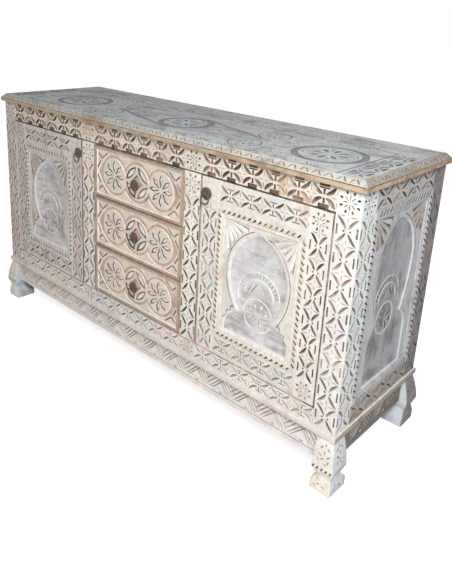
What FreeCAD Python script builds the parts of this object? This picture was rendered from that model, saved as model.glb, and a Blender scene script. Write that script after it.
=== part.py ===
"""Carved sideboard with two arched doors, three drawers and four block feet.

Millimetres, +Z up. The origin is on the floor, under the middle of the case.
The front faces -Y, and +X is the right-hand side of someone who faces it.
"""
import FreeCAD, Part
import math
import os

Vector = FreeCAD.Vector

# The case as a whole
case_width = 1640.0
case_depth = 480.0
overall_height = 900.0
foot_height = 168.0
ledge_height = 17.0
ledge_reach = 6.5
top_board_thickness = 29.0

# Front frame
post_side = 71.0
top_rail_height = 72.0
bottom_rail_height = 55.0
inner_stile_width = 72.0
door_opening_width = 454.0

# Top board
top_lip_height = 13.5
top_overhang = 12.0
top_back_overhang = 8.0
top_bevel_run = 15.0

# Shallow carving on the top board: three medallions, a rhombus round the middle one, and roundels
top_carving_depth = 2.2
top_carving_middle_x = 60.0
top_carving_forward = 75.0
medallion_spacing = 557.0
medallion_radius = 88.0
middle_medallion_radius = 75.0
medallion_channel_width = 20.0
rhombus_half_length = 360.0
rhombus_half_width = 112.0
rhombus_inner_share = 0.92
top_line_width = 5.0
roundel_radius = 48.0
roundel_from_middle_x = 315.0
roundel_from_middle_y = 75.0
top_end_border = 80.0
top_back_border = 141.0

# Doors
door_thickness = 24.0
door_gap = 2.0
door_stop_gap = 0.3
door_stile_width = 73.0
door_top_rail_height = 81.0
door_bottom_rail_height = 70.0
door_panel_thickness = 15.0
door_panel_setback = 3.0
door_bead_width = 10.0
door_bead_rise = 6.0
door_fillet_width = 12.0
door_fillet_rise = 3.0

# Arched pockets, as shares of the half width and the height of the panel inside its beads
arch_pocket_depth = 7.0
door_arch_half_width_share = 0.82
door_arch_waist_share = 0.52
door_arch_foot_share = 0.93
door_arch_apex_height_share = 0.95
door_arch_wide_height_share = 0.565
door_arch_waist_height_share = 0.245
door_arch_flare_height_share = 0.045
side_arch_half_width_share = 0.73
side_arch_waist_share = 0.49
side_arch_foot_share = 0.78
side_arch_apex_height_share = 0.96
side_arch_wide_height_share = 0.69
side_arch_waist_height_share = 0.362
side_arch_flare_height_share = 0.228

# Door pivots: a pin on a plate in the case, and a bush let into the door's end
pivot_from_door_edge = 6.0
pivot_from_door_face = 4.5
pivot_pin_radius = 2.0
pivot_running_gap = 0.05
pivot_bush_radius = 3.5
pivot_bush_length = 12.0
pivot_pin_end_gap = 1.0
pivot_plate_length = 36.0
pivot_plate_width = 20.0
pivot_plate_thickness = 1.2

# Door stops
stop_width = 40.0
stop_thickness = 16.0
stop_height = 30.0
stop_drop = 12.0
stop_from_stile = 5.0

# Sides of the case
side_top_rail_height = 67.0
side_bottom_rail_height = 62.0
side_panel_thickness = 18.0
side_panel_setback = 4.0
side_bead_width = 14.0
side_bead_rise = 7.0
side_fillet_width = 10.0
side_fillet_rise = 4.0

# Back, floor, partitions and shelves
back_rail_thickness = 20.0
back_panel_thickness = 10.0
floor_thickness = 18.0
floor_notch_gap = 0.5
partition_thickness = 18.0
shelf_top_height = 520.0
shelf_thickness = 16.0
shelf_setback = 12.0
shelf_end_gap = 1.0
cleat_side = 18.0

# Aprons
apron_low_height = 85.0
apron_setback = 8.0
apron_thickness = 18.0

# Feet: the outer faces swell out to a belly, run in to a neck and out again to a plinth
foot_width = 50.0
foot_depth = 56.0
foot_belly_reach = 18.0
foot_belly_top_height = 88.0
foot_belly_low_height = 76.0
foot_swell = 2.0
foot_neck_height = 51.0
foot_neck_reach = 8.0
foot_neck_inset = 13.0
foot_plinth_height = 29.0
foot_plinth_reach = 14.0
foot_plinth_inner_reach_x = 3.0
foot_plinth_inner_reach_y = 12.0

# Drawers
drawer_count = 3
drawer_gap = 3.0
drawer_front_thickness = 24.0
drawer_border_width = 13.0
drawer_field_depth = 3.0
drawer_channel_depth = 2.0
drawer_ring_spacing = 117.0
drawer_ring_inner_radius = 60.0
drawer_ring_outer_radius = 71.5
drawer_point_start_angle = 52.0
drawer_point_shoulder_reach = 70.0
drawer_point_shoulder_rise = 30.0
drawer_point_reach = 87.0
drawer_box_length = 400.0
drawer_side_thickness = 12.0
drawer_back_thickness = 12.0
drawer_bottom_thickness = 6.0
drawer_bottom_lift = 8.0
drawer_top_gap = 12.0
drawer_slide_gap = 0.3
runner_width = 16.0
runner_height = 10.0

# Ring pulls
rosette_radius = 19.0
rosette_thickness = 3.0
eye_reach = 9.0
eye_length = 6.0
eye_wall = 2.0
eye_neck_radius = 3.5
ring_wire_radius = 2.2
ring_radius = 15.5
ring_running_gap = 0.7
door_pull_from_edge = 21.0
door_pull_from_top = 50.0
drawer_pull_left_of_middle = 10.0
drawer_pull_below_middle = 10.0

# One overrun for all cuts
cut_overrun = 5.0

# Places that follow from the sizes above
half_width = case_width / 2
front_y = -case_depth / 2
back_y = case_depth / 2
frame_thickness = door_thickness + door_stop_gap
frame_back_y = front_y + frame_thickness
inner_back_y = back_y - back_rail_thickness
ledge_top_z = foot_height + ledge_height
opening_low_z = ledge_top_z + bottom_rail_height
case_top_z = overall_height - top_board_thickness
opening_high_z = case_top_z - top_rail_height
post_inner_x = half_width - post_side
post_back_y = front_y + post_side
door_opening_x = post_inner_x - door_opening_width
drawer_opening_x = door_opening_x - inner_stile_width
partition_outer_x = drawer_opening_x + partition_thickness
side_panel_face_x = half_width - side_panel_setback
side_panel_inner_x = side_panel_face_x - side_panel_thickness
side_panel_low_z = ledge_top_z + side_bottom_rail_height
side_panel_high_z = case_top_z - side_top_rail_height


def box(x_low, x_high, y_low, y_high, z_low, z_high):
    """A block between two corners."""
    corner = Vector(x_low, y_low, z_low)
    return Part.makeBox(x_high - x_low, y_high - y_low, z_high - z_low, corner)


def mirrored_x(shape):
    """The same piece on the other side of the middle."""
    return shape.mirror(Vector(0, 0, 0), Vector(1, 0, 0))


def mirrored_y(shape):
    """The same piece at the back of the case."""
    return shape.mirror(Vector(0, 0, 0), Vector(0, 1, 0))


def prism(points, height):
    """A flat outline in X and Y, raised along Z."""
    corners = [Vector(x, y, 0) for x, y in points]
    outline = Part.makePolygon(corners + corners[:1])
    return Part.Face(outline).extrude(Vector(0, 0, height))


def onto_front(shape, face_y):
    """Stand a piece drawn flat in X and Y on a plane that faces the front."""
    shape.rotate(Vector(0, 0, 0), Vector(1, 0, 0), 90)
    shape.translate(Vector(0, face_y, 0))
    return shape


def onto_right(shape, face_x):
    """Stand a piece drawn flat in Y and Z on a plane that faces right."""
    shape.rotate(Vector(0, 0, 0), Vector(1, 1, 1), 120)
    shape.translate(Vector(face_x, 0, 0))
    return shape


def mitred_strips(u_low, u_high, v_low, v_high, width, rise):
    """Four strips with mitred corners, inside a rectangle."""
    outer = [(u_low, v_low), (u_high, v_low), (u_high, v_high), (u_low, v_high)]
    inner = [
        (u_low + width, v_low + width),
        (u_high - width, v_low + width),
        (u_high - width, v_high - width),
        (u_low + width, v_high - width),
    ]
    strips = []
    for side in range(4):
        after = (side + 1) % 4
        strips.append(prism([outer[side], outer[after], inner[after], inner[side]], rise))
    return strips


def beading(u_low, u_high, v_low, v_high, bead_width, bead_rise, fillet_width, fillet_rise):
    """A tall bead with a lower fillet inside it, in four mitred lengths."""
    beads = mitred_strips(u_low, u_high, v_low, v_high, bead_width, bead_rise)
    fillets = mitred_strips(
        u_low + bead_width,
        u_high - bead_width,
        v_low + bead_width,
        v_high - bead_width,
        fillet_width,
        fillet_rise,
    )
    return [bead.fuse(fillet).removeSplitter() for bead, fillet in zip(beads, fillets)]


def round_edge(start, end, centre):
    """An arc between two points of a circle about the centre, the short way round."""
    radius = (start - centre).Length
    middle = (start + end) / 2 - centre
    middle.normalize()
    return Part.Arc(start, centre + middle * radius, end).toShape()


def arc_centre_level(near_u, near_rise, far_u):
    """Centre of the arc that is upright at far_u and reaches near_u after near_rise."""
    return (far_u**2 - near_u**2 - near_rise**2) / (2 * (far_u - near_u))


def arch_pocket(middle_u, low_v, apex_v, wide_v, waist_v, flare_v, half_wide, half_waist, half_foot):
    """A pointed horseshoe arch on spreading jambs, as a block to be cut away."""
    apex = Vector(middle_u, apex_v, 0)
    edges = []
    for side in (1, -1):
        wide = Vector(middle_u + side * half_wide, wide_v, 0)
        waist = Vector(middle_u + side * half_waist, waist_v, 0)
        flare = Vector(middle_u + side * half_foot, flare_v, 0)
        foot = Vector(middle_u + side * half_foot, low_v, 0)
        upper = arc_centre_level(0, apex_v - wide_v, half_wide)
        lower = arc_centre_level(half_waist, wide_v - waist_v, half_wide)
        jamb = arc_centre_level(half_waist, waist_v - flare_v, half_foot)
        run = [
            round_edge(apex, wide, Vector(middle_u + side * upper, wide_v, 0)),
            round_edge(wide, waist, Vector(middle_u + side * lower, wide_v, 0)),
            round_edge(waist, flare, Vector(middle_u + side * jamb, flare_v, 0)),
            Part.LineSegment(flare, foot).toShape(),
        ]
        edges += run
    edges.append(Part.LineSegment(edges[3].Vertexes[1].Point, edges[7].Vertexes[1].Point).toShape())
    outline = Part.Wire(Part.__sortEdges__(edges))
    block = Part.Face(outline).extrude(Vector(0, 0, arch_pocket_depth + cut_overrun))
    block.translate(Vector(0, 0, -arch_pocket_depth))
    return block


def save(name, *solids):
    """Write one sub-part, a single solid or a group of separate ones."""
    shape = solids[0] if len(solids) == 1 else Part.makeCompound(list(solids))
    shape.exportStep("parts/" + name + ".step")


def rectangle(x_low, x_high, y_low, y_high, z):
    """A level outline."""
    points = [(x_low, y_low), (x_high, y_low), (x_high, y_high), (x_low, y_high), (x_low, y_low)]
    return Part.makePolygon([Vector(x, y, z) for x, y in points])


# Top board: an upright lip under a sloping edge
def top_ring(x, y, radius, width):
    """A ring-shaped channel to be cut from the top board."""
    low = Vector(x, y, overall_height - top_carving_depth)
    outer = Part.makeCylinder(radius + width, top_carving_depth + cut_overrun, low)
    return outer.cut(Part.makeCylinder(radius, top_carving_depth + cut_overrun, low))


def top_rhombus(share):
    """A rhombus-shaped block about the middle medallion, scaled by a share of its full size."""
    half_length = rhombus_half_length * share
    half_width = rhombus_half_width * share
    corners = [(half_length, 0), (0, half_width), (-half_length, 0), (0, -half_width), (half_length, 0)]
    low_z = overall_height - top_carving_depth
    points = [Vector(top_carving_middle_x + x, -top_carving_forward + y, low_z) for x, y in corners]
    face = Part.Face(Part.makePolygon(points))
    return face.extrude(Vector(0, 0, top_carving_depth + cut_overrun))


def top_carving(half_length, low_y, high_y):
    """Everything that is cut from the top board's face."""
    line_share = top_line_width / rhombus_half_width
    cuts = []
    for step in (-1, 0, 1):
        radius = medallion_radius if step else middle_medallion_radius
        x = top_carving_middle_x + step * medallion_spacing
        cuts.append(top_ring(x, -top_carving_forward, radius, medallion_channel_width))
    for side in (-1, 1):
        for level in (-1, 1):
            x = top_carving_middle_x + side * roundel_from_middle_x
            y = -top_carving_forward + level * roundel_from_middle_y
            cuts.append(top_ring(x, y, roundel_radius, top_line_width))
    for share in (1.0, rhombus_inner_share):
        cuts.append(top_rhombus(share).cut(top_rhombus(share - line_share)))
    low_z = overall_height - top_carving_depth
    high_z = overall_height + cut_overrun
    end_x = half_length - top_end_border
    back_y = high_y - top_back_border
    for x in (-end_x, end_x):
        half_line = top_line_width / 2
        cuts.append(box(x - half_line, x + half_line, low_y + top_line_width, back_y, low_z, high_z))
    inner_x = end_x - top_line_width / 2
    cuts.append(box(-inner_x, inner_x, back_y - top_line_width, back_y, low_z, high_z))
    return cuts


def top_board():
    low_x = half_width + top_overhang
    low_front = front_y - top_overhang
    low_back = back_y + top_back_overhang
    bevel_low_z = case_top_z + top_lip_height
    lip = box(-low_x, low_x, low_front, low_back, case_top_z, bevel_low_z)
    high_x = low_x - top_bevel_run
    outlines = [
        rectangle(-low_x, low_x, low_front, low_back, bevel_low_z),
        rectangle(-high_x, high_x, low_front + top_bevel_run, low_back - top_bevel_run, overall_height),
    ]
    board = lip.fuse(Part.makeLoft(outlines, True, True)).removeSplitter()
    carving = top_carving(high_x, low_front + top_bevel_run, low_back - top_bevel_run)
    return board.cut(Part.makeCompound(carving))


def front_post():
    return box(post_inner_x, half_width, front_y, post_back_y, ledge_top_z, case_top_z)


# Foot: one outline across and the same one front to back, crossed
def foot_outline(width, plinth_inner_reach):
    """Distances from the case's side, outwards, against heights above the floor."""
    top = Vector(0, foot_height, 0)
    belly = Vector(foot_belly_reach, foot_belly_top_height, 0)
    along = belly - top
    outwards = Vector(-along.y, along.x, 0)
    outwards.normalize()
    swell = Part.Arc(top, (top + belly) / 2 + outwards * foot_swell, belly).toShape()
    corners = [
        belly,
        Vector(foot_belly_reach, foot_belly_low_height, 0),
        Vector(foot_neck_reach, foot_neck_height, 0),
        Vector(foot_plinth_reach, foot_plinth_height, 0),
        Vector(foot_plinth_reach, 0, 0),
        Vector(-width - plinth_inner_reach, 0, 0),
        Vector(-width - plinth_inner_reach, foot_plinth_height, 0),
        Vector(-width + foot_neck_inset, foot_neck_height, 0),
        Vector(-width, foot_belly_low_height, 0),
        Vector(-width, foot_height, 0),
        top,
    ]
    return Part.Wire([swell] + Part.makePolygon(corners).Edges)


def front_foot():
    reach = foot_depth + foot_plinth_inner_reach_y + foot_belly_reach
    across = Part.Face(foot_outline(foot_width, foot_plinth_inner_reach_x)).extrude(Vector(0, 0, 2 * reach))
    across.translate(Vector(0, 0, -reach))
    across.rotate(Vector(0, 0, 0), Vector(1, 0, 0), 90)
    across.translate(Vector(half_width, front_y, 0))
    deep = Part.Face(foot_outline(foot_depth, foot_plinth_inner_reach_y)).extrude(Vector(0, 0, 2 * reach))
    deep.translate(Vector(0, 0, -reach))
    deep.rotate(Vector(0, 0, 0), Vector(1, 0, 0), 90)
    deep.rotate(Vector(0, 0, 0), Vector(0, 0, 1), -90)
    deep.translate(Vector(half_width, front_y, 0))
    return across.common(deep).Solids[0]


# Ledge between the feet and the case
def base_frame():
    reach_x = half_width + ledge_reach
    reach_y = back_y + ledge_reach
    strips = mitred_strips(-reach_x, reach_x, -reach_y, reach_y, post_side + ledge_reach, ledge_height)
    for strip in strips:
        strip.translate(Vector(0, 0, foot_height))
    return strips


def front_apron():
    end_x = half_width - foot_width
    face_y = front_y + apron_setback
    return box(-end_x, end_x, face_y, face_y + apron_thickness, apron_low_height, foot_height)


def side_apron():
    face_x = half_width - apron_setback
    end_y = back_y - foot_depth
    return box(face_x - apron_thickness, face_x, -end_y, end_y, apron_low_height, foot_height)


# Sides of the case
def side_rails():
    inner_x = half_width - frame_thickness
    high = box(inner_x, half_width, post_back_y, -post_back_y, side_panel_high_z, case_top_z)
    low = box(inner_x, half_width, post_back_y, -post_back_y, ledge_top_z, side_panel_low_z)
    return [high, low]


def side_panel():
    board = box(
        side_panel_inner_x,
        side_panel_face_x,
        post_back_y,
        -post_back_y,
        side_panel_low_z,
        side_panel_high_z,
    )
    margin = side_bead_width + side_fillet_width
    half_field = -post_back_y - margin
    low = side_panel_low_z + margin
    field = side_panel_high_z - margin - low
    pocket = arch_pocket(
        0,
        low,
        low + field * side_arch_apex_height_share,
        low + field * side_arch_wide_height_share,
        low + field * side_arch_waist_height_share,
        low + field * side_arch_flare_height_share,
        half_field * side_arch_half_width_share,
        half_field * side_arch_waist_share,
        half_field * side_arch_foot_share,
    )
    return board.cut(onto_right(pocket, side_panel_face_x))


def side_beading():
    strips = beading(
        post_back_y,
        -post_back_y,
        side_panel_low_z,
        side_panel_high_z,
        side_bead_width,
        side_bead_rise,
        side_fillet_width,
        side_fillet_rise,
    )
    return [onto_right(strip, side_panel_face_x) for strip in strips]


# Inside of the case
def case_floor():
    reach_x = half_width - frame_thickness
    low_z = opening_low_z - floor_thickness
    board = box(-reach_x, reach_x, frame_back_y, inner_back_y, low_z, opening_low_z)
    notch_x = post_inner_x - floor_notch_gap
    notch_front_y = post_back_y + floor_notch_gap
    notch = box(notch_x, half_width, front_y, notch_front_y, low_z - cut_overrun, opening_low_z + cut_overrun)
    for piece in (notch, mirrored_y(notch)):
        board = board.cut(piece).cut(mirrored_x(piece))
    return board


def partition():
    return box(drawer_opening_x, partition_outer_x, frame_back_y, inner_back_y, opening_low_z, case_top_z)


def shelf():
    front = frame_back_y + shelf_setback
    low_z = shelf_top_height - shelf_thickness
    left = partition_outer_x + shelf_end_gap
    right = side_panel_inner_x - shelf_end_gap
    board = box(left, right, front, inner_back_y - shelf_end_gap, low_z, shelf_top_height)
    notch_x = post_inner_x - shelf_end_gap
    notch_y = post_back_y + shelf_end_gap
    notch = box(notch_x, half_width, front_y, notch_y, low_z - cut_overrun, shelf_top_height + cut_overrun)
    return board.cut(notch).cut(mirrored_y(notch))


def shelf_cleats():
    high_z = shelf_top_height - shelf_thickness
    low_z = high_z - cleat_side
    front = frame_back_y + shelf_setback
    inner = box(partition_outer_x, partition_outer_x + cleat_side, front, inner_back_y, low_z, high_z)
    outer = box(side_panel_inner_x - cleat_side, side_panel_inner_x, post_back_y, -post_back_y, low_z, high_z)
    return [inner, outer]


def door_stop():
    left = door_opening_x + stop_from_stile
    low_z = opening_high_z - stop_drop
    back_y = frame_back_y + stop_thickness
    return box(left, left + stop_width, frame_back_y, back_y, low_z, low_z + stop_height)


# Doors, drawn for the right-hand side
door_left_x = door_opening_x + door_gap
door_right_x = post_inner_x - door_gap
door_low_z = opening_low_z + door_gap
door_high_z = opening_high_z - door_gap
door_back_y = front_y + door_thickness
door_panel_left_x = door_left_x + door_stile_width
door_panel_right_x = door_right_x - door_stile_width
door_panel_low_z = door_low_z + door_bottom_rail_height
door_panel_high_z = door_high_z - door_top_rail_height
door_panel_face_y = front_y + door_panel_setback
pivot_x = door_right_x - pivot_from_door_edge
pivot_y = front_y + pivot_from_door_face


def pivot_cylinder(radius, low_z, high_z):
    return Part.makeCylinder(radius, high_z - low_z, Vector(pivot_x, pivot_y, low_z))


def door_stiles():
    outer = box(door_panel_right_x, door_right_x, front_y, door_back_y, door_low_z, door_high_z)
    bush_top_z = door_low_z + pivot_bush_length
    bush_low_z = door_high_z - pivot_bush_length
    outer = outer.cut(pivot_cylinder(pivot_bush_radius, door_low_z - cut_overrun, bush_top_z))
    outer = outer.cut(pivot_cylinder(pivot_bush_radius, bush_low_z, door_high_z + cut_overrun))
    inner = box(door_left_x, door_panel_left_x, front_y, door_back_y, door_low_z, door_high_z)
    return [outer, inner]


def door_rails():
    left, right = door_panel_left_x, door_panel_right_x
    high = box(left, right, front_y, door_back_y, door_panel_high_z, door_high_z)
    low = box(left, right, front_y, door_back_y, door_low_z, door_panel_low_z)
    return [high, low]


def door_panel():
    back = door_panel_face_y + door_panel_thickness
    board = box(
        door_panel_left_x,
        door_panel_right_x,
        door_panel_face_y,
        back,
        door_panel_low_z,
        door_panel_high_z,
    )
    margin = door_bead_width + door_fillet_width
    middle = (door_panel_left_x + door_panel_right_x) / 2
    half_field = door_panel_right_x - middle - margin
    low = door_panel_low_z + margin
    field = door_panel_high_z - margin - low
    pocket = arch_pocket(
        middle,
        low,
        low + field * door_arch_apex_height_share,
        low + field * door_arch_wide_height_share,
        low + field * door_arch_waist_height_share,
        low + field * door_arch_flare_height_share,
        half_field * door_arch_half_width_share,
        half_field * door_arch_waist_share,
        half_field * door_arch_foot_share,
    )
    return board.cut(onto_front(pocket, door_panel_face_y))


def door_beading():
    strips = beading(
        door_panel_left_x,
        door_panel_right_x,
        door_panel_low_z,
        door_panel_high_z,
        door_bead_width,
        door_bead_rise,
        door_fillet_width,
        door_fillet_rise,
    )
    return [onto_front(strip, door_panel_face_y) for strip in strips]


def door_bushes():
    bore = pivot_pin_radius + pivot_running_gap
    low_end = door_low_z + pivot_bush_length
    high_start = door_high_z - pivot_bush_length
    low = pivot_cylinder(pivot_bush_radius, door_low_z, low_end)
    low = low.cut(pivot_cylinder(bore, door_low_z, low_end))
    high = pivot_cylinder(pivot_bush_radius, high_start, door_high_z)
    high = high.cut(pivot_cylinder(bore, high_start, door_high_z))
    return [low, high]


def frame_pivots():
    pin_high_z = door_low_z + pivot_bush_length - pivot_pin_end_gap
    pin_low_z = door_high_z - pivot_bush_length + pivot_pin_end_gap
    left = post_inner_x - pivot_plate_length
    back = front_y + pivot_plate_width
    low_plate = box(left, post_inner_x, front_y, back, opening_low_z, opening_low_z + pivot_plate_thickness)
    high_plate_low_z = opening_high_z - pivot_plate_thickness
    high_plate = box(left, post_inner_x, front_y, back, high_plate_low_z, opening_high_z)
    low = low_plate.fuse(pivot_cylinder(pivot_pin_radius, opening_low_z, pin_high_z)).removeSplitter()
    high = high_plate.fuse(pivot_cylinder(pivot_pin_radius, pin_low_z, opening_high_z)).removeSplitter()
    return [low, high]


# Ring pulls: a round plate with an eye, and a ring that hangs in the eye
def pull_plate(x, face_y, z):
    plate = Part.makeCylinder(rosette_radius, rosette_thickness, Vector(x, face_y, z), Vector(0, -1, 0))
    eye_y = face_y - eye_reach
    bore = ring_wire_radius + ring_running_gap
    eye_radius = bore + eye_wall
    neck = Part.makeCylinder(eye_neck_radius, eye_reach, Vector(x, face_y, z), Vector(0, -1, 0))
    start = Vector(x - eye_length / 2, eye_y, z)
    eye = Part.makeCylinder(eye_radius, eye_length, start, Vector(1, 0, 0))
    hole_start = start - Vector(cut_overrun, 0, 0)
    hole = Part.makeCylinder(bore, eye_length + 2 * cut_overrun, hole_start, Vector(1, 0, 0))
    return plate.fuse(neck.fuse(eye).cut(hole)).removeSplitter()


def pull_ring(x, face_y, z):
    centre = Vector(x, face_y - eye_reach, z - ring_radius)
    return Part.makeTorus(ring_radius, ring_wire_radius, centre, Vector(0, 1, 0))


# Drawers
drawer_half_width = drawer_opening_x - drawer_gap
drawer_height = (opening_high_z - opening_low_z - (drawer_count + 1) * drawer_gap) / drawer_count
drawer_back_face_y = front_y + drawer_front_thickness
drawer_side_inner_x = drawer_half_width - drawer_side_thickness
drawer_field_y = front_y + drawer_field_depth


def drawer_low_z(number):
    """Underside of a drawer front, counted from the top."""
    below = drawer_count - number
    return opening_low_z + drawer_gap + below * (drawer_height + drawer_gap)


def drawer_channel(middle_z):
    """The channel round three discs side by side, drawn out to a point at each end."""
    height = drawer_channel_depth + cut_overrun
    angle = math.radians(drawer_point_start_angle)
    start_x = drawer_ring_outer_radius * math.cos(angle)
    start_z = drawer_ring_outer_radius * math.sin(angle)
    point = [
        (start_x, start_z),
        (drawer_point_shoulder_reach, drawer_point_shoulder_rise),
        (drawer_point_reach, 0),
        (drawer_point_shoulder_reach, -drawer_point_shoulder_rise),
        (start_x, -start_z),
        (0, 0),
    ]
    rings, discs = [], []
    for step in (-1, 0, 1):
        middle = Vector(step * drawer_ring_spacing, middle_z, 0)
        rings.append(Part.makeCylinder(drawer_ring_outer_radius, height, middle))
        discs.append(Part.makeCylinder(drawer_ring_inner_radius, height, middle))
        if step:
            rings.append(prism([(middle.x + step * x, middle_z + z) for x, z in point], height))
    channel = rings[0].multiFuse(rings[1:]).cut(discs[0].multiFuse(discs[1:]))
    return onto_front(channel, drawer_field_y + drawer_channel_depth)


def drawer_front(low_z):
    high_z = low_z + drawer_height
    board = box(-drawer_half_width, drawer_half_width, front_y, drawer_back_face_y, low_z, high_z)
    half_field = drawer_half_width - drawer_border_width
    field = box(
        -half_field,
        half_field,
        front_y - cut_overrun,
        drawer_field_y,
        low_z + drawer_border_width,
        high_z - drawer_border_width,
    )
    return board.cut(field).cut(drawer_channel(low_z + drawer_height / 2))


def drawer_box(low_z):
    side_low_z = low_z + runner_height + drawer_slide_gap
    side_high_z = low_z + drawer_height - drawer_top_gap
    end_y = drawer_back_face_y + drawer_box_length
    side = box(drawer_side_inner_x, drawer_half_width, drawer_back_face_y, end_y, side_low_z, side_high_z)
    back = box(
        -drawer_side_inner_x,
        drawer_side_inner_x,
        end_y - drawer_back_thickness,
        end_y,
        side_low_z,
        side_high_z,
    )
    return [side, mirrored_x(side), back]


def drawer_bottom(low_z):
    bottom_z = low_z + runner_height + drawer_slide_gap + drawer_bottom_lift
    end_y = drawer_back_face_y + drawer_box_length - drawer_back_thickness
    return box(
        -drawer_side_inner_x,
        drawer_side_inner_x,
        drawer_back_face_y,
        end_y,
        bottom_z,
        bottom_z + drawer_bottom_thickness,
    )


def drawer_runner(low_z):
    inner_x = drawer_opening_x - runner_width
    return box(inner_x, drawer_opening_x, frame_back_y, inner_back_y, low_z, low_z + runner_height)


def write_case():
    save("top_board", top_board())
    post = front_post()
    save("post_front_right", post)
    save("post_front_left", mirrored_x(post))
    save("post_back_right", mirrored_y(post))
    save("post_back_left", mirrored_x(mirrored_y(post)))
    rail_x = post_inner_x
    save("front_top_rail", box(-rail_x, rail_x, front_y, frame_back_y, opening_high_z, case_top_z))
    save("front_bottom_rail", box(-rail_x, rail_x, front_y, frame_back_y, ledge_top_z, opening_low_z))
    stile = box(drawer_opening_x, door_opening_x, front_y, frame_back_y, opening_low_z, opening_high_z)
    save("inner_stile_right", stile)
    save("inner_stile_left", mirrored_x(stile))
    rails = side_rails()
    save("side_rails", *rails, *[mirrored_x(rail) for rail in rails])
    panel = side_panel()
    save("right_side_panel", panel)
    save("left_side_panel", mirrored_x(panel))
    strips = side_beading()
    save("right_side_beading", *strips)
    save("left_side_beading", *[mirrored_x(strip) for strip in strips])
    panel_back_y = inner_back_y + back_panel_thickness
    save("back_panel", box(-rail_x, rail_x, inner_back_y, panel_back_y, opening_low_z, opening_high_z))
    back_top_rail = box(-rail_x, rail_x, inner_back_y, back_y, opening_high_z, case_top_z)
    back_low_rail = box(-rail_x, rail_x, inner_back_y, back_y, ledge_top_z, opening_low_z)
    save("back_rails", back_top_rail, back_low_rail)
    save("case_floor", case_floor())
    save("partition_right", partition())
    save("partition_left", mirrored_x(partition()))
    save("base_frame", *base_frame())
    save("shelves", shelf(), mirrored_x(shelf()))
    cleats = shelf_cleats()
    save("shelf_cleats", *cleats, *[mirrored_x(cleat) for cleat in cleats])
    save("door_stops", door_stop(), mirrored_x(door_stop()))
    pivots = frame_pivots()
    save("frame_pivots", *pivots, *[mirrored_x(pivot) for pivot in pivots])


def write_feet_and_aprons():
    foot = front_foot()
    save("foot_front_right", foot)
    save("foot_front_left", mirrored_x(foot))
    save("foot_back_right", mirrored_y(foot))
    save("foot_back_left", mirrored_x(mirrored_y(foot)))
    apron = front_apron()
    save("front_apron", apron)
    save("side_and_back_aprons", mirrored_y(apron), side_apron(), mirrored_x(side_apron()))


def write_doors():
    pull_x = door_left_x + door_pull_from_edge
    pull_z = door_high_z - door_pull_from_top
    pieces = {
        "stiles": door_stiles(),
        "rails": door_rails(),
        "panel": [door_panel()],
        "beading": door_beading(),
        "bushes": door_bushes(),
        "pull_plate": [pull_plate(pull_x, front_y, pull_z)],
        "pull_ring": [pull_ring(pull_x, front_y, pull_z)],
    }
    for name, solids in pieces.items():
        save("right_door_" + name, *solids)
        save("left_door_" + name, *[mirrored_x(solid) for solid in solids])


def write_drawers():
    runners = []
    for number in range(1, drawer_count + 1):
        low_z = drawer_low_z(number)
        name = "drawer_" + str(number) + "_"
        pull_z = low_z + drawer_height / 2 - drawer_pull_below_middle
        save(name + "front", drawer_front(low_z))
        save(name + "box", *drawer_box(low_z))
        save(name + "bottom", drawer_bottom(low_z))
        save(name + "pull_plate", pull_plate(-drawer_pull_left_of_middle, drawer_field_y, pull_z))
        save(name + "pull_ring", pull_ring(-drawer_pull_left_of_middle, drawer_field_y, pull_z))
        runner = drawer_runner(low_z)
        runners += [runner, mirrored_x(runner)]
    save("drawer_runners", *runners)


os.makedirs("parts", exist_ok=True)
write_case()
write_feet_and_aprons()
write_doors()
write_drawers()
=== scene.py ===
"""Looks of a carved and limewashed sideboard: carved boards, iron ring pulls, worn paint.

Metres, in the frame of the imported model: the front faces -Y, +X is to the right, +Z up.
Carving is laid out flat, with the board's face at Z = 0, and then turned onto its board.
"""

import math

import bpy
from mathutils import Matrix, Vector


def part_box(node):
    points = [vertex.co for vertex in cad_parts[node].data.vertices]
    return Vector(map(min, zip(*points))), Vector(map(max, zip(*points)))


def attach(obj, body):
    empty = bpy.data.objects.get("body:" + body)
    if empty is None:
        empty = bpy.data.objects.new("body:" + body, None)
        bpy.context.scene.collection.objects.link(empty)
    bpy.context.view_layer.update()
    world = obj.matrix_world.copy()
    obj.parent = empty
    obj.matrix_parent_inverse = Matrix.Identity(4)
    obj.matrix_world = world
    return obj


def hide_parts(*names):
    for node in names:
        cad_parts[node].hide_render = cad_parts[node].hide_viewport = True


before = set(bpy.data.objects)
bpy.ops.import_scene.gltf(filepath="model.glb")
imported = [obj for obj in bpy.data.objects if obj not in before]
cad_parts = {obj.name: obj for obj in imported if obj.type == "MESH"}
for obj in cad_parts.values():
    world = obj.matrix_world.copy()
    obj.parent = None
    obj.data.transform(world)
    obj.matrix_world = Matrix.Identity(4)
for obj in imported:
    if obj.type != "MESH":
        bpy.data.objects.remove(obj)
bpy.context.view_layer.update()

MM = 0.001

# Sizes of the case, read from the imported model
post_low, post_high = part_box("post_front_right")
rail_low, rail_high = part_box("front_top_rail")
base_rail_low, base_rail_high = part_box("front_bottom_rail")
stile_low, stile_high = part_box("inner_stile_right")
top_low, top_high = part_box("top_board")
FRONT_Y = post_low.y
SIDE_X = post_high.x
TOP_Z = top_high.z

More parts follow.
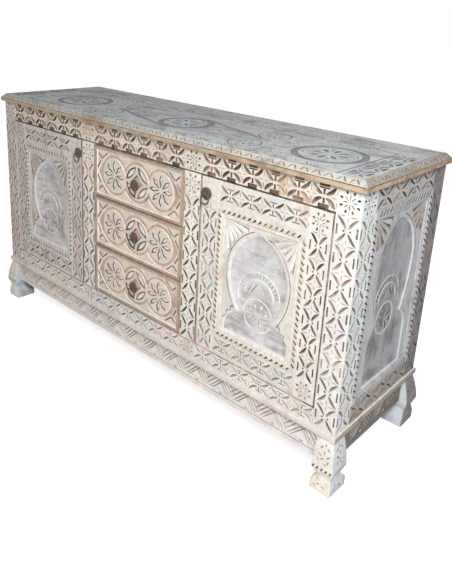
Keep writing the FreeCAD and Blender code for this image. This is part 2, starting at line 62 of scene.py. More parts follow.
# Carved faces: how a layout drawn flat is turned onto its board
ON_FRONT = Matrix.Translation((0, FRONT_Y, 0)) @ Matrix.Rotation(math.radians(90), 4, "X")
FACING_RIGHT = Matrix(((0, 0, 1, 0), (1, 0, 0, 0), (0, 1, 0, 0), (0, 0, 0, 1)))
FACING_LEFT = Matrix(((0, 0, -1, 0), (-1, 0, 0, 0), (0, 1, 0, 0), (0, 0, 0, 1)))
ON_RIGHT = Matrix.Translation((SIDE_X, 0, 0)) @ FACING_RIGHT
ON_LEFT = Matrix.Translation((-SIDE_X, 0, 0)) @ FACING_LEFT
ON_TOP = Matrix.Translation((0, 0, TOP_Z))


# Tools

def select(*objects):
    """Make these the only selected objects, with the first one active."""
    if bpy.context.object and bpy.context.object.mode != "OBJECT":
        bpy.ops.object.mode_set(mode="OBJECT")
    bpy.ops.object.select_all(action="DESELECT")
    for piece in objects:
        piece.select_set(True)
    bpy.context.view_layer.objects.active = objects[0]


def place(piece, matrix):
    """Move a piece by changing its mesh, so that its object stays at the origin."""
    piece.data.transform(matrix)
    piece.data.update()
    return piece


def settle(piece):
    """Turn a fresh primitive's place into its mesh."""
    select(piece)
    bpy.ops.object.transform_apply(location=True, rotation=True, scale=True)
    return piece


def copy_of(piece, matrix=None):
    """A copy with a mesh of its own."""
    twin = piece.copy()
    twin.data = piece.data.copy()
    bpy.context.collection.objects.link(twin)
    if matrix is not None:
        twin.data.transform(matrix)
    return twin


def joined(pieces):
    """Join pieces into the first one."""
    if len(pieces) > 1:
        select(*pieces)
        bpy.ops.object.join()
    return pieces[0]


def facing_out(piece):
    """Point all faces of closed shapes outwards."""
    select(piece)
    bpy.ops.object.mode_set(mode="EDIT")
    bpy.ops.mesh.select_all(action="SELECT")
    bpy.ops.mesh.remove_doubles(threshold=0.001 * MM)
    bpy.ops.mesh.normals_make_consistent(inside=False)
    bpy.ops.object.mode_set(mode="OBJECT")
    return piece


def finish_modifier(piece, modifier):
    select(piece)
    bpy.ops.object.modifier_apply(modifier=modifier.name)
    return piece


def cut_away(piece, cuts, crossing=False):
    """Cut a layout out of a piece. The cut faces keep the layout's finish."""
    modifier = piece.modifiers.new("carve", "BOOLEAN")
    modifier.operation = "DIFFERENCE"
    modifier.solver = "EXACT"
    modifier.material_mode = "TRANSFER"
    modifier.use_self = crossing
    modifier.object = cuts
    finish_modifier(piece, modifier)
    bpy.data.objects.remove(cuts)
    return piece


def soften(piece, width, segments=2, angle=40, finish=-1):
    """Round the sharp edges of a piece a little, with one of its finishes on them if asked."""
    modifier = piece.modifiers.new("soften", "BEVEL")
    modifier.material = finish
    modifier.width = width
    modifier.segments = segments
    modifier.limit_method = "ANGLE"
    modifier.angle_limit = math.radians(angle)
    return finish_modifier(piece, modifier)


def finished(piece, material):
    """Give a whole piece one finish."""
    piece.data.materials.clear()
    piece.data.materials.append(material)
    return piece


def finished_by(piece, choose, *materials):
    """Give each face the finish whose number a rule picks."""
    piece.data.materials.clear()
    for material in materials:
        piece.data.materials.append(material)
    for face in piece.data.polygons:
        face.material_index = choose(face)
    return piece


def smooth(piece, angle=30):
    select(piece)
    bpy.ops.object.shade_smooth_by_angle(angle=math.radians(angle))
    return piece


def board(name, low, high, material, edge=1.2):
    """A plain board between two corners, with its edges eased."""
    low, high = Vector(low), Vector(high)
    bpy.ops.mesh.primitive_cube_add(size=1, location=(low + high) / 2, scale=high - low)
    piece = settle(bpy.context.object)
    piece.name = name
    return finished(soften(piece, edge * MM), material)


def solids_of(node):
    """The corners of each separate solid of a node."""
    whole = node_copy("measured", node)
    select(whole)
    bpy.ops.mesh.separate(type="LOOSE")
    corners = []
    for part in bpy.context.selected_objects:
        points = [vertex.co for vertex in part.data.vertices]
        low = Vector([min(point[axis] for point in points) for axis in range(3)])
        high = Vector([max(point[axis] for point in points) for axis in range(3)])
        corners.append((low, high))
    for part in bpy.context.selected_objects:
        bpy.data.objects.remove(part)
    return sorted(corners, key=lambda pair: tuple(pair[0]))


def node_copy(name, *nodes):
    """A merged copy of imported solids, with flat faces made whole."""
    piece = joined([copy_of(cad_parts[node]) for node in nodes])
    piece.parent = None
    piece.matrix_world = Matrix()
    piece.name = name
    piece.hide_render = False
    select(piece)
    bpy.ops.object.mode_set(mode="EDIT")
    bpy.ops.mesh.select_all(action="SELECT")
    bpy.ops.mesh.remove_doubles(threshold=0.01 * MM)
    bpy.ops.mesh.dissolve_limited(angle_limit=math.radians(1))
    bpy.ops.object.mode_set(mode="OBJECT")
    return piece


def dress(piece, body, *nodes, slot):
    """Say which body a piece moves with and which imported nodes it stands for."""
    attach(piece, body)
    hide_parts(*nodes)
    return piece


def repainted(piece, changes):
    """Give a piece other finishes, by name."""
    for place_for in piece.material_slots:
        for old, new in changes.items():
            if place_for.material == FINISH[old]:
                place_for.material = FINISH[new]
                break
    return piece


def mirrored(piece, name):
    """The same piece on the other side of the middle."""
    twin = copy_of(piece, Matrix.Scale(-1, 4, (1, 0, 0)))
    twin.data.flip_normals()
    twin.name = name
    return twin


# Finishes

def colour(red, green, blue):
    """An sRGB colour out of 255, as the renderer takes it."""
    def linear(value):
        value /= 255
        return value / 12.92 if value <= 0.04045 else ((value + 0.055) / 1.055) ** 2.4
    return (linear(red), linear(green), linear(blue), 1)


class Wiring:
    """Short words for adding nodes to a shader tree."""

    def __init__(self, tree):
        self.tree = tree

    def node(self, kind, **values):
        made = self.tree.nodes.new(kind)
        for name, value in values.items():
            setattr(made, name, value)
        return made

    def link(self, source, target):
        self.tree.links.new(source, target)

    def put(self, socket, value):
        if isinstance(value, bpy.types.NodeSocket):
            self.link(value, socket)
        else:
            socket.default_value = value

    def math(self, operation, first, second=0.0):
        made = self.node("ShaderNodeMath", operation=operation)
        self.put(made.inputs[0], first)
        self.put(made.inputs[1], second)
        return made.outputs[0]

    def vector(self, operation, first, second):
        made = self.node("ShaderNodeVectorMath", operation=operation)
        self.put(made.inputs[0], first)
        self.put(made.inputs["Scale" if operation == "SCALE" else 1], second)
        return made.outputs["Vector"]

    def noise(self, vector, scale, detail=3.0, roughness=0.55, distortion=0.0):
        made = self.node("ShaderNodeTexNoise")
        self.link(vector, made.inputs["Vector"])
        made.inputs["Scale"].default_value = scale
        made.inputs["Detail"].default_value = detail
        made.inputs["Roughness"].default_value = roughness
        made.inputs["Distortion"].default_value = distortion
        return made.outputs["Fac"]

    def ramp(self, value, low, high):
        """0 below low, 1 above high, smooth between."""
        made = self.node("ShaderNodeMapRange", interpolation_type="SMOOTHSTEP")
        self.put(made.inputs["Value"], value)
        self.put(made.inputs["From Min"], low)
        self.put(made.inputs["From Max"], high)
        return made.outputs["Result"]

    def mix(self, share, first, second):
        made = self.node("ShaderNodeMix", data_type="RGBA")
        self.put(made.inputs[0], share)
        self.put(made.inputs[6], first)
        self.put(made.inputs[7], second)
        return made.outputs[2]


def new_group(name, inputs, outputs):
    group = bpy.data.node_groups.new(name, "ShaderNodeTree")
    for socket_name, kind, default in inputs:
        socket = group.interface.new_socket(socket_name, in_out="INPUT", socket_type="NodeSocket" + kind)
        if default is not None:
            socket.default_value = default
    for socket_name, kind in outputs:
        group.interface.new_socket(socket_name, in_out="OUTPUT", socket_type="NodeSocket" + kind)
    return group, group.nodes.new("NodeGroupInput").outputs, group.nodes.new("NodeGroupOutput").inputs


def limewash_group():
    """Limewash rubbed back on wood: thick and thin patches, warm stains, grain and specks."""
    group, given, made = new_group(
        "limewash",
        [
            ("Position", "Vector", None),
            ("Grain", "Vector", (1, 1, 1)),
            ("Wash", "Color", (0.7, 0.65, 0.58, 1)),
            ("Worn", "Color", (0.5, 0.36, 0.25, 1)),
            ("Wood", "Color", (0.3, 0.2, 0.12, 1)),
            ("Wear", "Float", 0.5),
            ("Bare", "Float", 0.3),
        ],
        [("Color", "Color"), ("Roughness", "Float"), ("Height", "Float")],
    )
    w = Wiring(group)
    position = given["Position"]
    along = w.vector("MULTIPLY", position, given["Grain"])
    grain = w.noise(along, scale=190, detail=4, roughness=0.65, distortion=0.4)
    streak = w.noise(along, scale=42, detail=5, roughness=0.62, distortion=0.6)
    patch = w.noise(position, scale=11, detail=4, roughness=0.6, distortion=0.4)
    tint = w.noise(position, scale=6.5, detail=3, roughness=0.55)
    speck = w.noise(position, scale=240, detail=3, roughness=0.6)
    mottle = w.ramp(w.noise(position, scale=58, detail=4, roughness=0.65), 0.3, 0.7)
    hues = w.node("ShaderNodeTexNoise")
    w.link(position, hues.inputs["Vector"])
    hues.inputs["Scale"].default_value = 17
    hues.inputs["Detail"].default_value = 4
    blend = w.math("ADD", w.math("MULTIPLY", patch, 0.55), w.math("MULTIPLY", streak, 0.45))
    worn_from = w.math("SUBTRACT", 0.68, w.math("MULTIPLY", given["Wear"], 0.3))
    worn = w.ramp(blend, worn_from, w.math("ADD", worn_from, 0.16))
    bare_from = w.math("SUBTRACT", 0.76, w.math("MULTIPLY", given["Bare"], 0.3))
    thin = w.math("ADD", w.math("MULTIPLY", streak, 0.7), w.math("MULTIPLY", tint, 0.3))
    bare = w.ramp(thin, bare_from, w.math("ADD", bare_from, 0.1))
    cooler = w.vector("MULTIPLY", given["Wash"], (0.93, 0.96, 0.98))
    wash = w.mix(w.ramp(tint, 0.42, 0.6), given["Wash"], cooler)
    rubbed = w.mix(w.math("MULTIPLY", worn, 0.8), wash, given["Worn"])
    opened = w.mix(w.math("MULTIPLY", bare, 0.75), rubbed, given["Wood"])
    flecked = w.mix(w.math("MULTIPLY", w.ramp(speck, 0.62, 0.7), 0.3), opened, given["Wood"])
    unevenness = w.math("ADD", w.math("MULTIPLY", grain, 0.26), w.math("MULTIPLY", mottle, 0.2))
    shade = w.math("ADD", 0.76, unevenness)
    tints = w.vector("ADD", w.vector("SCALE", hues.outputs["Color"], 0.16), (0.925, 0.918, 0.918))
    w.link(w.vector("MULTIPLY", w.vector("SCALE", flecked, shade), tints), made["Color"])
    w.link(w.math("ADD", 0.6, w.math("MULTIPLY", grain, 0.28)), made["Roughness"])
    w.link(w.math("ADD", w.math("MULTIPLY", grain, 0.5), w.math("MULTIPLY", blend, 0.9)), made["Height"])
    return group


LIMEWASH = limewash_group()
ALONG_X = (0.12, 1, 1)
ALONG_Y = (1, 0.12, 1)
ALONG_Z = (1, 1, 0.12)
NO_GRAIN = (1, 1, 1)


def wash_material(name, wash, worn, wood, wear, bare, grain, bump=0.4):
    """Limewashed wood with its grain along one axis. Colours are sRGB out of 255."""
    material = bpy.data.materials.new(name)
    material.use_nodes = True
    tree = material.node_tree
    w = Wiring(tree)
    shader = tree.nodes["Principled BSDF"]
    group = w.node("ShaderNodeGroup", node_tree=LIMEWASH)
    w.link(w.node("ShaderNodeTexCoord").outputs["Object"], group.inputs["Position"])
    for socket, value in (("Wash", wash), ("Worn", worn), ("Wood", wood)):
        group.inputs[socket].default_value = colour(*value)
    for socket, value in (("Grain", grain), ("Wear", wear), ("Bare", bare)):
        group.inputs[socket].default_value = value
    w.link(group.outputs["Color"], shader.inputs["Base Color"])
    w.link(group.outputs["Roughness"], shader.inputs["Roughness"])
    relief = w.node("ShaderNodeBump")
    relief.inputs["Strength"].default_value = bump
    relief.inputs["Distance"].default_value = 0.8 * MM
    w.link(group.outputs["Height"], relief.inputs["Height"])
    w.link(relief.outputs["Normal"], shader.inputs["Normal"])
    shader.inputs["Specular IOR Level"].default_value = 0.25
    return material


CREAM = (226, 215, 200)
WHITE = (229, 225, 219)
TOP_GREY = (194, 197, 195)
PINK_TAN = (208, 178, 160)
ORANGE = (200, 152, 114)
BROWN = (140, 112, 92)
GREY_BROWN = (152, 142, 132)
DARK = (76, 62, 54)
DARKEST = (48, 38, 34)
PLAIN_WOOD = ((158, 130, 100), (140, 110, 82), (112, 84, 60))

# Each finish: its wash, its rubbed wash, its wood, how worn and how bare it is, and its grain
WASHES = {
    "rail": (CREAM, ORANGE, BROWN, 0.62, 0.3, ALONG_X),
    "base_rail": ((236, 227, 220), PINK_TAN, BROWN, 0.5, 0.25, ALONG_X),
    "stile": ((238, 230, 218), PINK_TAN, BROWN, 0.5, 0.3, ALONG_Z),
    # The left post's finish, darker and greyer than the right's: partly a greyer wash, partly painted shade.
    "left_post": ((218, 208, 201), (170, 148, 136), BROWN, 0.66, 0.4, ALONG_Z),
    "post": (WHITE, (216, 192, 174), BROWN, 0.42, 0.2, ALONG_Z),
    # The front post's side face, a little darker and cooler than its front: painted shade on the side.
    "post_side": ((218, 223, 222), (190, 184, 176), BROWN, 0.45, 0.25, ALONG_Z),
    "door": ((230, 224, 215), PINK_TAN, GREY_BROWN, 0.46, 0.25, ALONG_Z),
    # The left door's finish, darker and greyer than the right's: partly a greyer wash, partly painted shade.
    "left_door": ((218, 209, 203), (174, 152, 142), GREY_BROWN, 0.66, 0.4, ALONG_Z),
    "door_rail": ((224, 217, 208), PINK_TAN, GREY_BROWN, 0.5, 0.3, ALONG_X),
    "margin": ((233, 223, 208), (214, 182, 152), GREY_BROWN, 0.5, 0.2, ALONG_Z),
    "bead": ((214, 210, 202), PINK_TAN, GREY_BROWN, 0.4, 0.2, ALONG_Z),
    "panel": ((220, 215, 208), (198, 188, 180), GREY_BROWN, 0.5, 0.2, ALONG_Z),
    "pocket": ((214, 210, 208), (154, 148, 150), GREY_BROWN, 0.74, 0.1, ALONG_X),
    # The scooped edge round a door's arch, paler than the panel and the pocket's floor: a painted highlight.
    # It also colours the long slopes of the spandrel fingers.
    "slope": ((227, 223, 218), (206, 198, 196), GREY_BROWN, 0.5, 0.1, ALONG_Z),
    "chalk": ((234, 231, 228), (216, 212, 208), GREY_BROWN, 0.3, 0.1, ALONG_Z),
    # The side's pocket, darker than the front's: painted shade on the side.
    "side_pocket": ((164, 165, 167), (112, 111, 115), GREY_BROWN, 0.76, 0.15, ALONG_Z),
    # The scooped edge round a side panel's arch, paler than the side and its pocket: a painted highlight. It
    # also colours the rings and the floors of the rays in the side's star.
    "side_slope": ((206, 208, 208), (160, 158, 156), GREY_BROWN, 0.5, 0.15, ALONG_Z),
    "drawer": ((225, 213, 198), PINK_TAN, BROWN, 0.5, 0.3, ALONG_X),
    "drawer_border": ((212, 190, 170), ORANGE, BROWN, 0.7, 0.45, ALONG_X),
    # The drawers' sunk channels, tan and darker than the field: partly the wash's colour, partly painted
    # shade in the recess.
    "channel": ((206, 176, 154), (150, 122, 104), BROWN, 0.65, 0.4, ALONG_X),
    "rim": ((240, 234, 224), (216, 198, 180), BROWN, 0.3, 0.1, ALONG_X),
    "ledge": ((224, 216, 208), (204, 182, 166), BROWN, 0.6, 0.25, ALONG_X),
    "lip": ((194, 170, 142), (136, 100, 74), BROWN, 0.72, 0.45, ALONG_X),
    "bevel": ((190, 189, 180), (138, 124, 112), BROWN, 0.62, 0.35, ALONG_X),
    # The sloping edge at the top's ends, darker than at its front: painted shade on the sides.
    "end_bevel": ((156, 152, 146), (112, 100, 90), BROWN, 0.62, 0.35, ALONG_Y),
    "foot": ((235, 228, 216), (214, 176, 142), GREY_BROWN, 0.5, 0.3, ALONG_Z),
    # Finishes on the side faces, darker than the same parts on the front and darker again towards the back
    # and the bottom: painted shade where the light falls off along the side.
    "foot_side": ((208, 213, 216), (160, 160, 166), GREY_BROWN, 0.6, 0.3, ALONG_Z),
    "side_bead": ((188, 190, 190), (140, 134, 130), BROWN, 0.55, 0.3, ALONG_Z),
    "side": ((186, 189, 190), GREY_BROWN, BROWN, 0.5, 0.25, ALONG_Z),
    "side_rail": ((184, 182, 178), (142, 132, 122), BROWN, 0.5, 0.3, ALONG_Y),
    "low_side_rail": ((168, 164, 160), (124, 114, 106), BROWN, 0.55, 0.3, ALONG_Y),
    "side_ledge": ((168, 156, 146), (124, 108, 96), BROWN, 0.6, 0.35, ALONG_Y),
    "back_post": ((138, 135, 138), (104, 96, 94), BROWN, 0.5, 0.3, ALONG_Z),
    "side_apron": ((122, 117, 114), (86, 80, 77), BROWN, 0.5, 0.3, ALONG_Y),
    "top": (TOP_GREY, (130, 127, 130), GREY_BROWN, 0.68, 0.38, ALONG_X, 0.6),
    "top_ground": ((138, 135, 141), (106, 101, 106), GREY_BROWN, 0.5, 0.25, ALONG_X),
    "inside": (*PLAIN_WOOD, 0.4, 0.3, ALONG_X),
    "inside_y": (*PLAIN_WOOD, 0.4, 0.3, ALONG_Y),
    "inside_z": (*PLAIN_WOOD, 0.4, 0.3, ALONG_Z),
    # Cut finishes: their darkness is partly stain in the cuts and partly painted shade in the hollows.
    "dark_cut": (DARK, (168, 148, 132), DARKEST, 0.78, 0.4, NO_GRAIN),
    "brown_cut": ((124, 104, 90), (196, 182, 170), DARK, 0.75, 0.4, NO_GRAIN),
    "grey_cut": ((118, 106, 98), (190, 160, 132), DARK, 0.7, 0.4, NO_GRAIN),
    "slope_cut": ((150, 134, 121), (196, 180, 166), (96, 80, 70), 0.62, 0.3, NO_GRAIN),
    "shade_cut": ((182, 176, 174), (212, 206, 202), (132, 122, 116), 0.6, 0.3, NO_GRAIN),
    "pale_cut": ((176, 166, 158), (214, 206, 200), (124, 110, 100), 0.65, 0.3, NO_GRAIN),
    "top_faint": ((146, 146, 148), (170, 170, 170), (110, 108, 110), 0.6, 0.3, NO_GRAIN),
    "top_cut": ((104, 103, 106), (150, 150, 152), (66, 64, 66), 0.62, 0.3, NO_GRAIN),
}
FINISH = {name: wash_material(name + "_wash", *values) for name, values in WASHES.items()}


def metal_material(name, base, rust, metallic, roughness):
    material = bpy.data.materials.new(name)
    material.use_nodes = True
    tree = material.node_tree
    w = Wiring(tree)
    shader = tree.nodes["Principled BSDF"]
    where = w.node("ShaderNodeTexCoord").outputs["Object"]
    mottle = w.noise(where, scale=320, detail=4, roughness=0.6)
    rubbed = w.noise(where, scale=900, detail=3, roughness=0.6)
    w.link(w.mix(w.ramp(mottle, 0.42, 0.62), base, rust), shader.inputs["Base Color"])
    w.link(w.math("ADD", roughness, w.math("MULTIPLY", mottle, 0.25)), shader.inputs["Roughness"])
    shader.inputs["Metallic"].default_value = metallic
    relief = w.node("ShaderNodeBump")
    relief.inputs["Strength"].default_value = 0.35
    relief.inputs["Distance"].default_value = 0.4 * MM
    w.link(rubbed, relief.inputs["Height"])
    w.link(relief.outputs["Normal"], shader.inputs["Normal"])
    return material


IRON = metal_material("old_iron", colour(84, 76, 68), colour(132, 112, 94), 0.45, 0.5)
BRASS = metal_material("old_brass", colour(150, 122, 76), colour(110, 88, 58), 0.9, 0.35)


# Chips: the shapes that a knife or a gouge takes out, one unit from middle to edge, floor at Z = -1

CHIP_TOP, CHIP_FLOOR = 0.25, -1.0
NEAR_FLOOR = -0.9


def chip(sides, floor_u, floor_v, turned=0.0, floor_at=0.0, bow=0.0, pointed=False, widest=0.0, lean=0.0):
    """One chip with two finishes: walls and floor, or the steep side and the slope of a leaning cut. On a
    leaning cut the steep side takes the darker finish as painted shade.
    """
    bpy.ops.mesh.primitive_cone_add(
        vertices=sides,
        radius1=1,
        radius2=1,
        depth=CHIP_TOP - CHIP_FLOOR,
        location=(0, 0, (CHIP_TOP + CHIP_FLOOR) / 2),
        rotation=(0, 0, turned),
    )
    cut = settle(bpy.context.object)
    for vertex in cut.data.vertices:
        if pointed:
            vertex.co.y *= abs(vertex.co.y)
        if abs(vertex.co.y) > 0.1:
            vertex.co.x += widest
    select(cut)
    bpy.ops.object.mode_set(mode="EDIT")
    bpy.ops.mesh.select_mode(type="VERT")
    bpy.ops.mesh.select_all(action="DESELECT")
    bpy.ops.object.mode_set(mode="OBJECT")
    for vertex in cut.data.vertices:
        vertex.select = vertex.co.z < NEAR_FLOOR
    bpy.ops.object.mode_set(mode="EDIT")
    bpy.ops.transform.resize(value=(floor_u, floor_v, 1), center_override=(floor_at, 0, CHIP_FLOOR))
    bpy.ops.transform.translate(value=(0, lean, 0))
    bpy.ops.object.mode_set(mode="OBJECT")

    # A leaning cut: the steep side and the floor keep the first, darker finish as painted shade; the long
    # slope takes the second.
    def second(face):
        if lean:
            return int(NEAR_FLOOR < face.center.z < 0.1 and face.center.y < -0.02)
        return int(face.center.z < NEAR_FLOOR)

    finished_by(cut, second, FINISH["dark_cut"], FINISH["brown_cut"])
    for vertex in cut.data.vertices:
        vertex.co.y += bow * (1 - vertex.co.x**2)
    return cut


SQUARED = math.radians(45)
POINTED = math.radians(90)
CHIPS = {
    "leaf": chip(8, 0.5, 0.08),
    "bar": chip(4, 0.8, 0.3, SQUARED),
    "block": chip(4, 0.84, 0.62, SQUARED),
    "kite": chip(4, 0.25, 0.25),
    "petal": chip(4, 0.58, 0.5, floor_at=0.16, widest=0.27),
    "vesica": chip(16, 0.66, 0.5, pointed=True),
    # The finger and the sickles lean, with painted shade on their steep side.
    "finger": chip(3, 0.66, 0.24, POINTED, 0.16, lean=0.3),
    "sickle": chip(12, 0.6, 0.32, bow=0.6, lean=0.2),
    "sickle_back": chip(12, 0.6, 0.32, bow=-0.6, lean=0.2),
}
SQUARE = math.sqrt(2)


def around(u, v, reach, turn):
    return u + reach * math.cos(math.radians(turn)), v + reach * math.sin(math.radians(turn))


def mark(kind, u, v, half_u, half_v, turn=0.0, depth=4.5, level=0.0):
    """One chip: its middle, half its length and width, its turn in degrees and its depth, in mm."""
    if kind in ("bar", "block"):
        half_u, half_v = half_u * SQUARE, half_v * SQUARE
    size = Matrix.Diagonal((half_u * MM, half_v * MM, depth * MM, 1))
    turned = Matrix.Rotation(math.radians(turn), 4, "Z")
    return copy_of(CHIPS[kind], Matrix.Translation((u * MM, v * MM, level * MM)) @ turned @ size)


def finger(u, v, turn, length, width, depth):
    """A long three-sided cut that starts thin at a point and ends wide."""
    reach = length / 1.5
    return mark("finger", *around(u, v, reach, turn), reach, width / math.sqrt(3), turn, depth)


def groove(points, width, depth=1.6, level=0.0, closed=False):
    """A V cut along a line of points."""
    line = bpy.data.curves.new("line", "CURVE")
    line.dimensions = "3D"
    spline = line.splines.new("POLY")
    spline.points.add(len(points) - 1)
    for point, (u, v) in zip(spline.points, points):
        point.co = (u * MM, v * MM, 0, 1)
    spline.use_cyclic_u = closed
    line.bevel_depth = width / 2 * MM
    line.bevel_resolution = 0
    line.use_fill_caps = True
    holder = bpy.data.objects.new("line", line)
    bpy.context.collection.objects.link(holder)
    select(holder)
    bpy.ops.object.convert(target="MESH")
    cut = facing_out(bpy.context.object)
    deepened = Matrix.Diagonal((1, 1, depth / (width / 2), 1))
    return place(cut, Matrix.Translation((0, 0, level * MM)) @ deepened)


def arc(middle, radius, start, end, steps=24):
    """Points on a circle between two angles in degrees."""
    points = []
    for step in range(steps + 1):
        angle = math.radians(start + (end - start) * step / steps)
        points.append((middle[0] + radius * math.cos(angle), middle[1] + radius * math.sin(angle)))
    return points


def circle_groove(u, v, radius, width, depth=1.6, level=0.0, steps=40):
    return groove(arc((u, v), radius, 0, 360 - 360 / steps, steps - 1), width, depth, level, closed=True)


def repeated(unit, count, step_u=0.0, step_v=0.0):
    """Copies of a layout at even steps, in mm, starting where it is."""
    if count > 1:
        modifier = unit.modifiers.new("repeat", "ARRAY")
        modifier.count = count
        modifier.use_relative_offset = False
        modifier.use_constant_offset = True
        modifier.constant_offset_displace = (step_u * MM, step_v * MM, 0)
        finish_modifier(unit, modifier)
    return unit


def run_of(unit, low, high, pitch):
    """Copies of a layout drawn about 0, as many as fit between two places along U."""
    count = max(1, round((high - low) / pitch))
    pitch = (high - low) / count
    return place(repeated(unit, count, pitch), Matrix.Translation(((low + pitch / 2) * MM, 0, 0)))


def carved(piece, turn, cut_colour, *layouts, floor=None, crossing=False):
    """Cut layouts out of a piece, each in a pass of its own, and colour the walls and floors of the cuts. The
    dark cut finishes are partly stain in the cuts and partly painted shade in the hollows.
    """
    walls, floors = FINISH[cut_colour], FINISH[floor or cut_colour]
    for layout in layouts:
        if len(layout.data.materials) == 2:
            layout.data.materials[0], layout.data.materials[1] = walls, floors
        else:
            finished(layout, walls)
        cut_away(piece, place(layout, turn), crossing)
    return piece


# Layouts for the carving, in mm on a flat face

STAR_PITCH, STAR_HEIGHT = 79.0, 72.0
STAR_RUN, STAR_RISE = 33, 27
STAR_CUT_DEPTH = 3.2
# How far along and across each long cut lies, half its length and half its width
STAR_CUTS = {
    "rail": (20, 16.4, 20.5, 6.4),
    "door": (20.7, 16.9, 22.4, 4.6),
    "post": (20.7, 16.9, 22.4, 4.8),
}
STEM_WIDTHS = {"rail": 3.4, "door": 1.7}


def star_unit(pitch, height, style):
    """The crossing between two four-pointed stars: its long cuts, and the blocks above and below it."""
    u, v = pitch / STAR_PITCH, height / STAR_HEIGHT
    lean = math.degrees(math.atan2(STAR_RISE * v, STAR_RUN * u))
    out, up, half, broad = STAR_CUTS[style]
    half *= (u + v) / 2
    cuts, blocks = [], []
    for side in (1, -1):
        # Each long cut leans with its steep side upwards, where the darker finish paints shade.
        for level, kind in ((1, "sickle_back"), (-1, "sickle")):
            turn = side * level * lean
            cuts.append(mark(kind, side * out * u, level * up * v, half, broad, turn, STAR_CUT_DEPTH))
        cuts.append(mark("leaf", pitch / 2 - side * 9 * u, 0, 7.5 * u, 1.0, 0, 1.4))
        cuts.append(mark("leaf", pitch / 2, side * 15 * v, 1.0, 12 * v, 0, 1.4))
        if style == "post":
            cuts.append(mark("block", 0, side * 9 * v, 2.6, 3.0 * v, 0, 3.5))
            blocks.append(mark("bar", 0, side * 29 * v, 15 * u, 3.0 * v, 0, 4))
        else:
            cuts.append(mark("bar", 0, side * 11.5 * v, STEM_WIDTHS[style], 8.4 * v, 0, STAR_CUT_DEPTH))
    if style == "rail":
        blocks.append(mark("block", 0, -26 * v, 17.5 * u, 6.4 * v, 0, 4.5))
        blocks.append(mark("bar", 0, 21.4 * v, 17 * u, 2.2 * v, 0, 3.5))
        blocks.append(mark("block", 0, 29 * v, 16 * u, 4.2 * v, 0, 2))
    elif style == "door":
        blocks += [mark("bar", 0, side * 21.5 * v, 13 * u, 1.7 * v, 0, 2.5) for side in (1, -1)]
    return joined(cuts), joined(blocks)


def star_band(u_low, u_high, v_middle, height, pitch=STAR_PITCH, upright=False, style="rail"):
    """A run of stars along a board, as many as fit: the long cuts and the blocks."""
    turn = Matrix.Translation((0, v_middle * MM, 0))
    if upright:
        turn = Matrix.Translation((v_middle * MM, 0, 0)) @ Matrix.Rotation(math.radians(90), 4, "Z")
    pitch = (u_high - u_low) / max(1, round((u_high - u_low) / pitch))
    return [place(run_of(layout, u_low, u_high, pitch), turn) for layout in star_unit(pitch, height, style)]


def carve_stars(piece, turn, cut_colours, *band, **shape):
    """Cut a run of stars out of a piece: finishes for the cuts' steep sides, their long slopes and the
    blocks' floors. The darker steep side is painted shade.
    """
    steep, slope, floor = cut_colours
    cuts, blocks = star_band(*band, **shape)
    carved(piece, turn, steep, cuts, floor=slope)
    return carved(piece, turn, steep, blocks, floor=floor)


def seams(piece, turn, cut_colour, *lines, width=4.0, depth=3.0):
    """Dark lines along the edges of a board: painted shadow in the gaps between parts."""
    return carved(piece, turn, cut_colour, *[groove(line, width, depth) for line in lines])


# Cut finishes for the steep sides, long slopes and block floors of star bands: partly stain, partly painted
# shade. The SHADED set, dark throughout, is painted shade on the back posts and side rails.
RAIL_CUT_COLOURS = ("dark_cut", "brown_cut", "grey_cut")
DEEP_CUT_COLOURS = ("dark_cut", "slope_cut", "grey_cut")
LIGHT_CUT_COLOURS = ("brown_cut", "shade_cut", "pale_cut")
SHADED_CUT_COLOURS = ("dark_cut", "dark_cut", "grey_cut")


STAR_BLOCK_MARGIN = 6.0


def star_block(u, v, width, height):
    """An eight-pointed star in a square, with its ground chipped away round it."""
    half_u, half_v = width / 2 - STAR_BLOCK_MARGIN, height / 2 - STAR_BLOCK_MARGIN
    marks = []
    for kind, reach, start, half, thick, depth in (
        ("kite", 0.88, 22.5, 7, 4.5, 4.5), ("leaf", 0.45, 0, half_u * 0.3, 1.5, 2.5)
    ):
        for step in range(8):
            turn = 45 * step + start
            across, up = reach * math.cos(math.radians(turn)), reach * math.sin(math.radians(turn))
            marks.append(mark(kind, u + half_u * across, v + half_v * up, half, thick, turn, depth))
    return joined(marks)


def slab(points, low, high):
    """A flat block with a given outline."""
    bpy.ops.mesh.primitive_circle_add(
        vertices=len(points), radius=1, fill_type="NGON", location=(0, 0, high * MM)
    )
    piece = settle(bpy.context.object)
    for vertex, (u, v) in zip(piece.data.vertices, points):
        vertex.co.x, vertex.co.y = u * MM, v * MM
    select(piece)
    bpy.ops.object.mode_set(mode="EDIT")
    bpy.ops.mesh.select_mode(type="FACE")
    bpy.ops.mesh.select_all(action="SELECT")
    bpy.ops.mesh.extrude_region_move(TRANSFORM_OT_translate={"value": (0, 0, (low - high) * MM)})
    bpy.ops.object.mode_set(mode="OBJECT")
    return piece


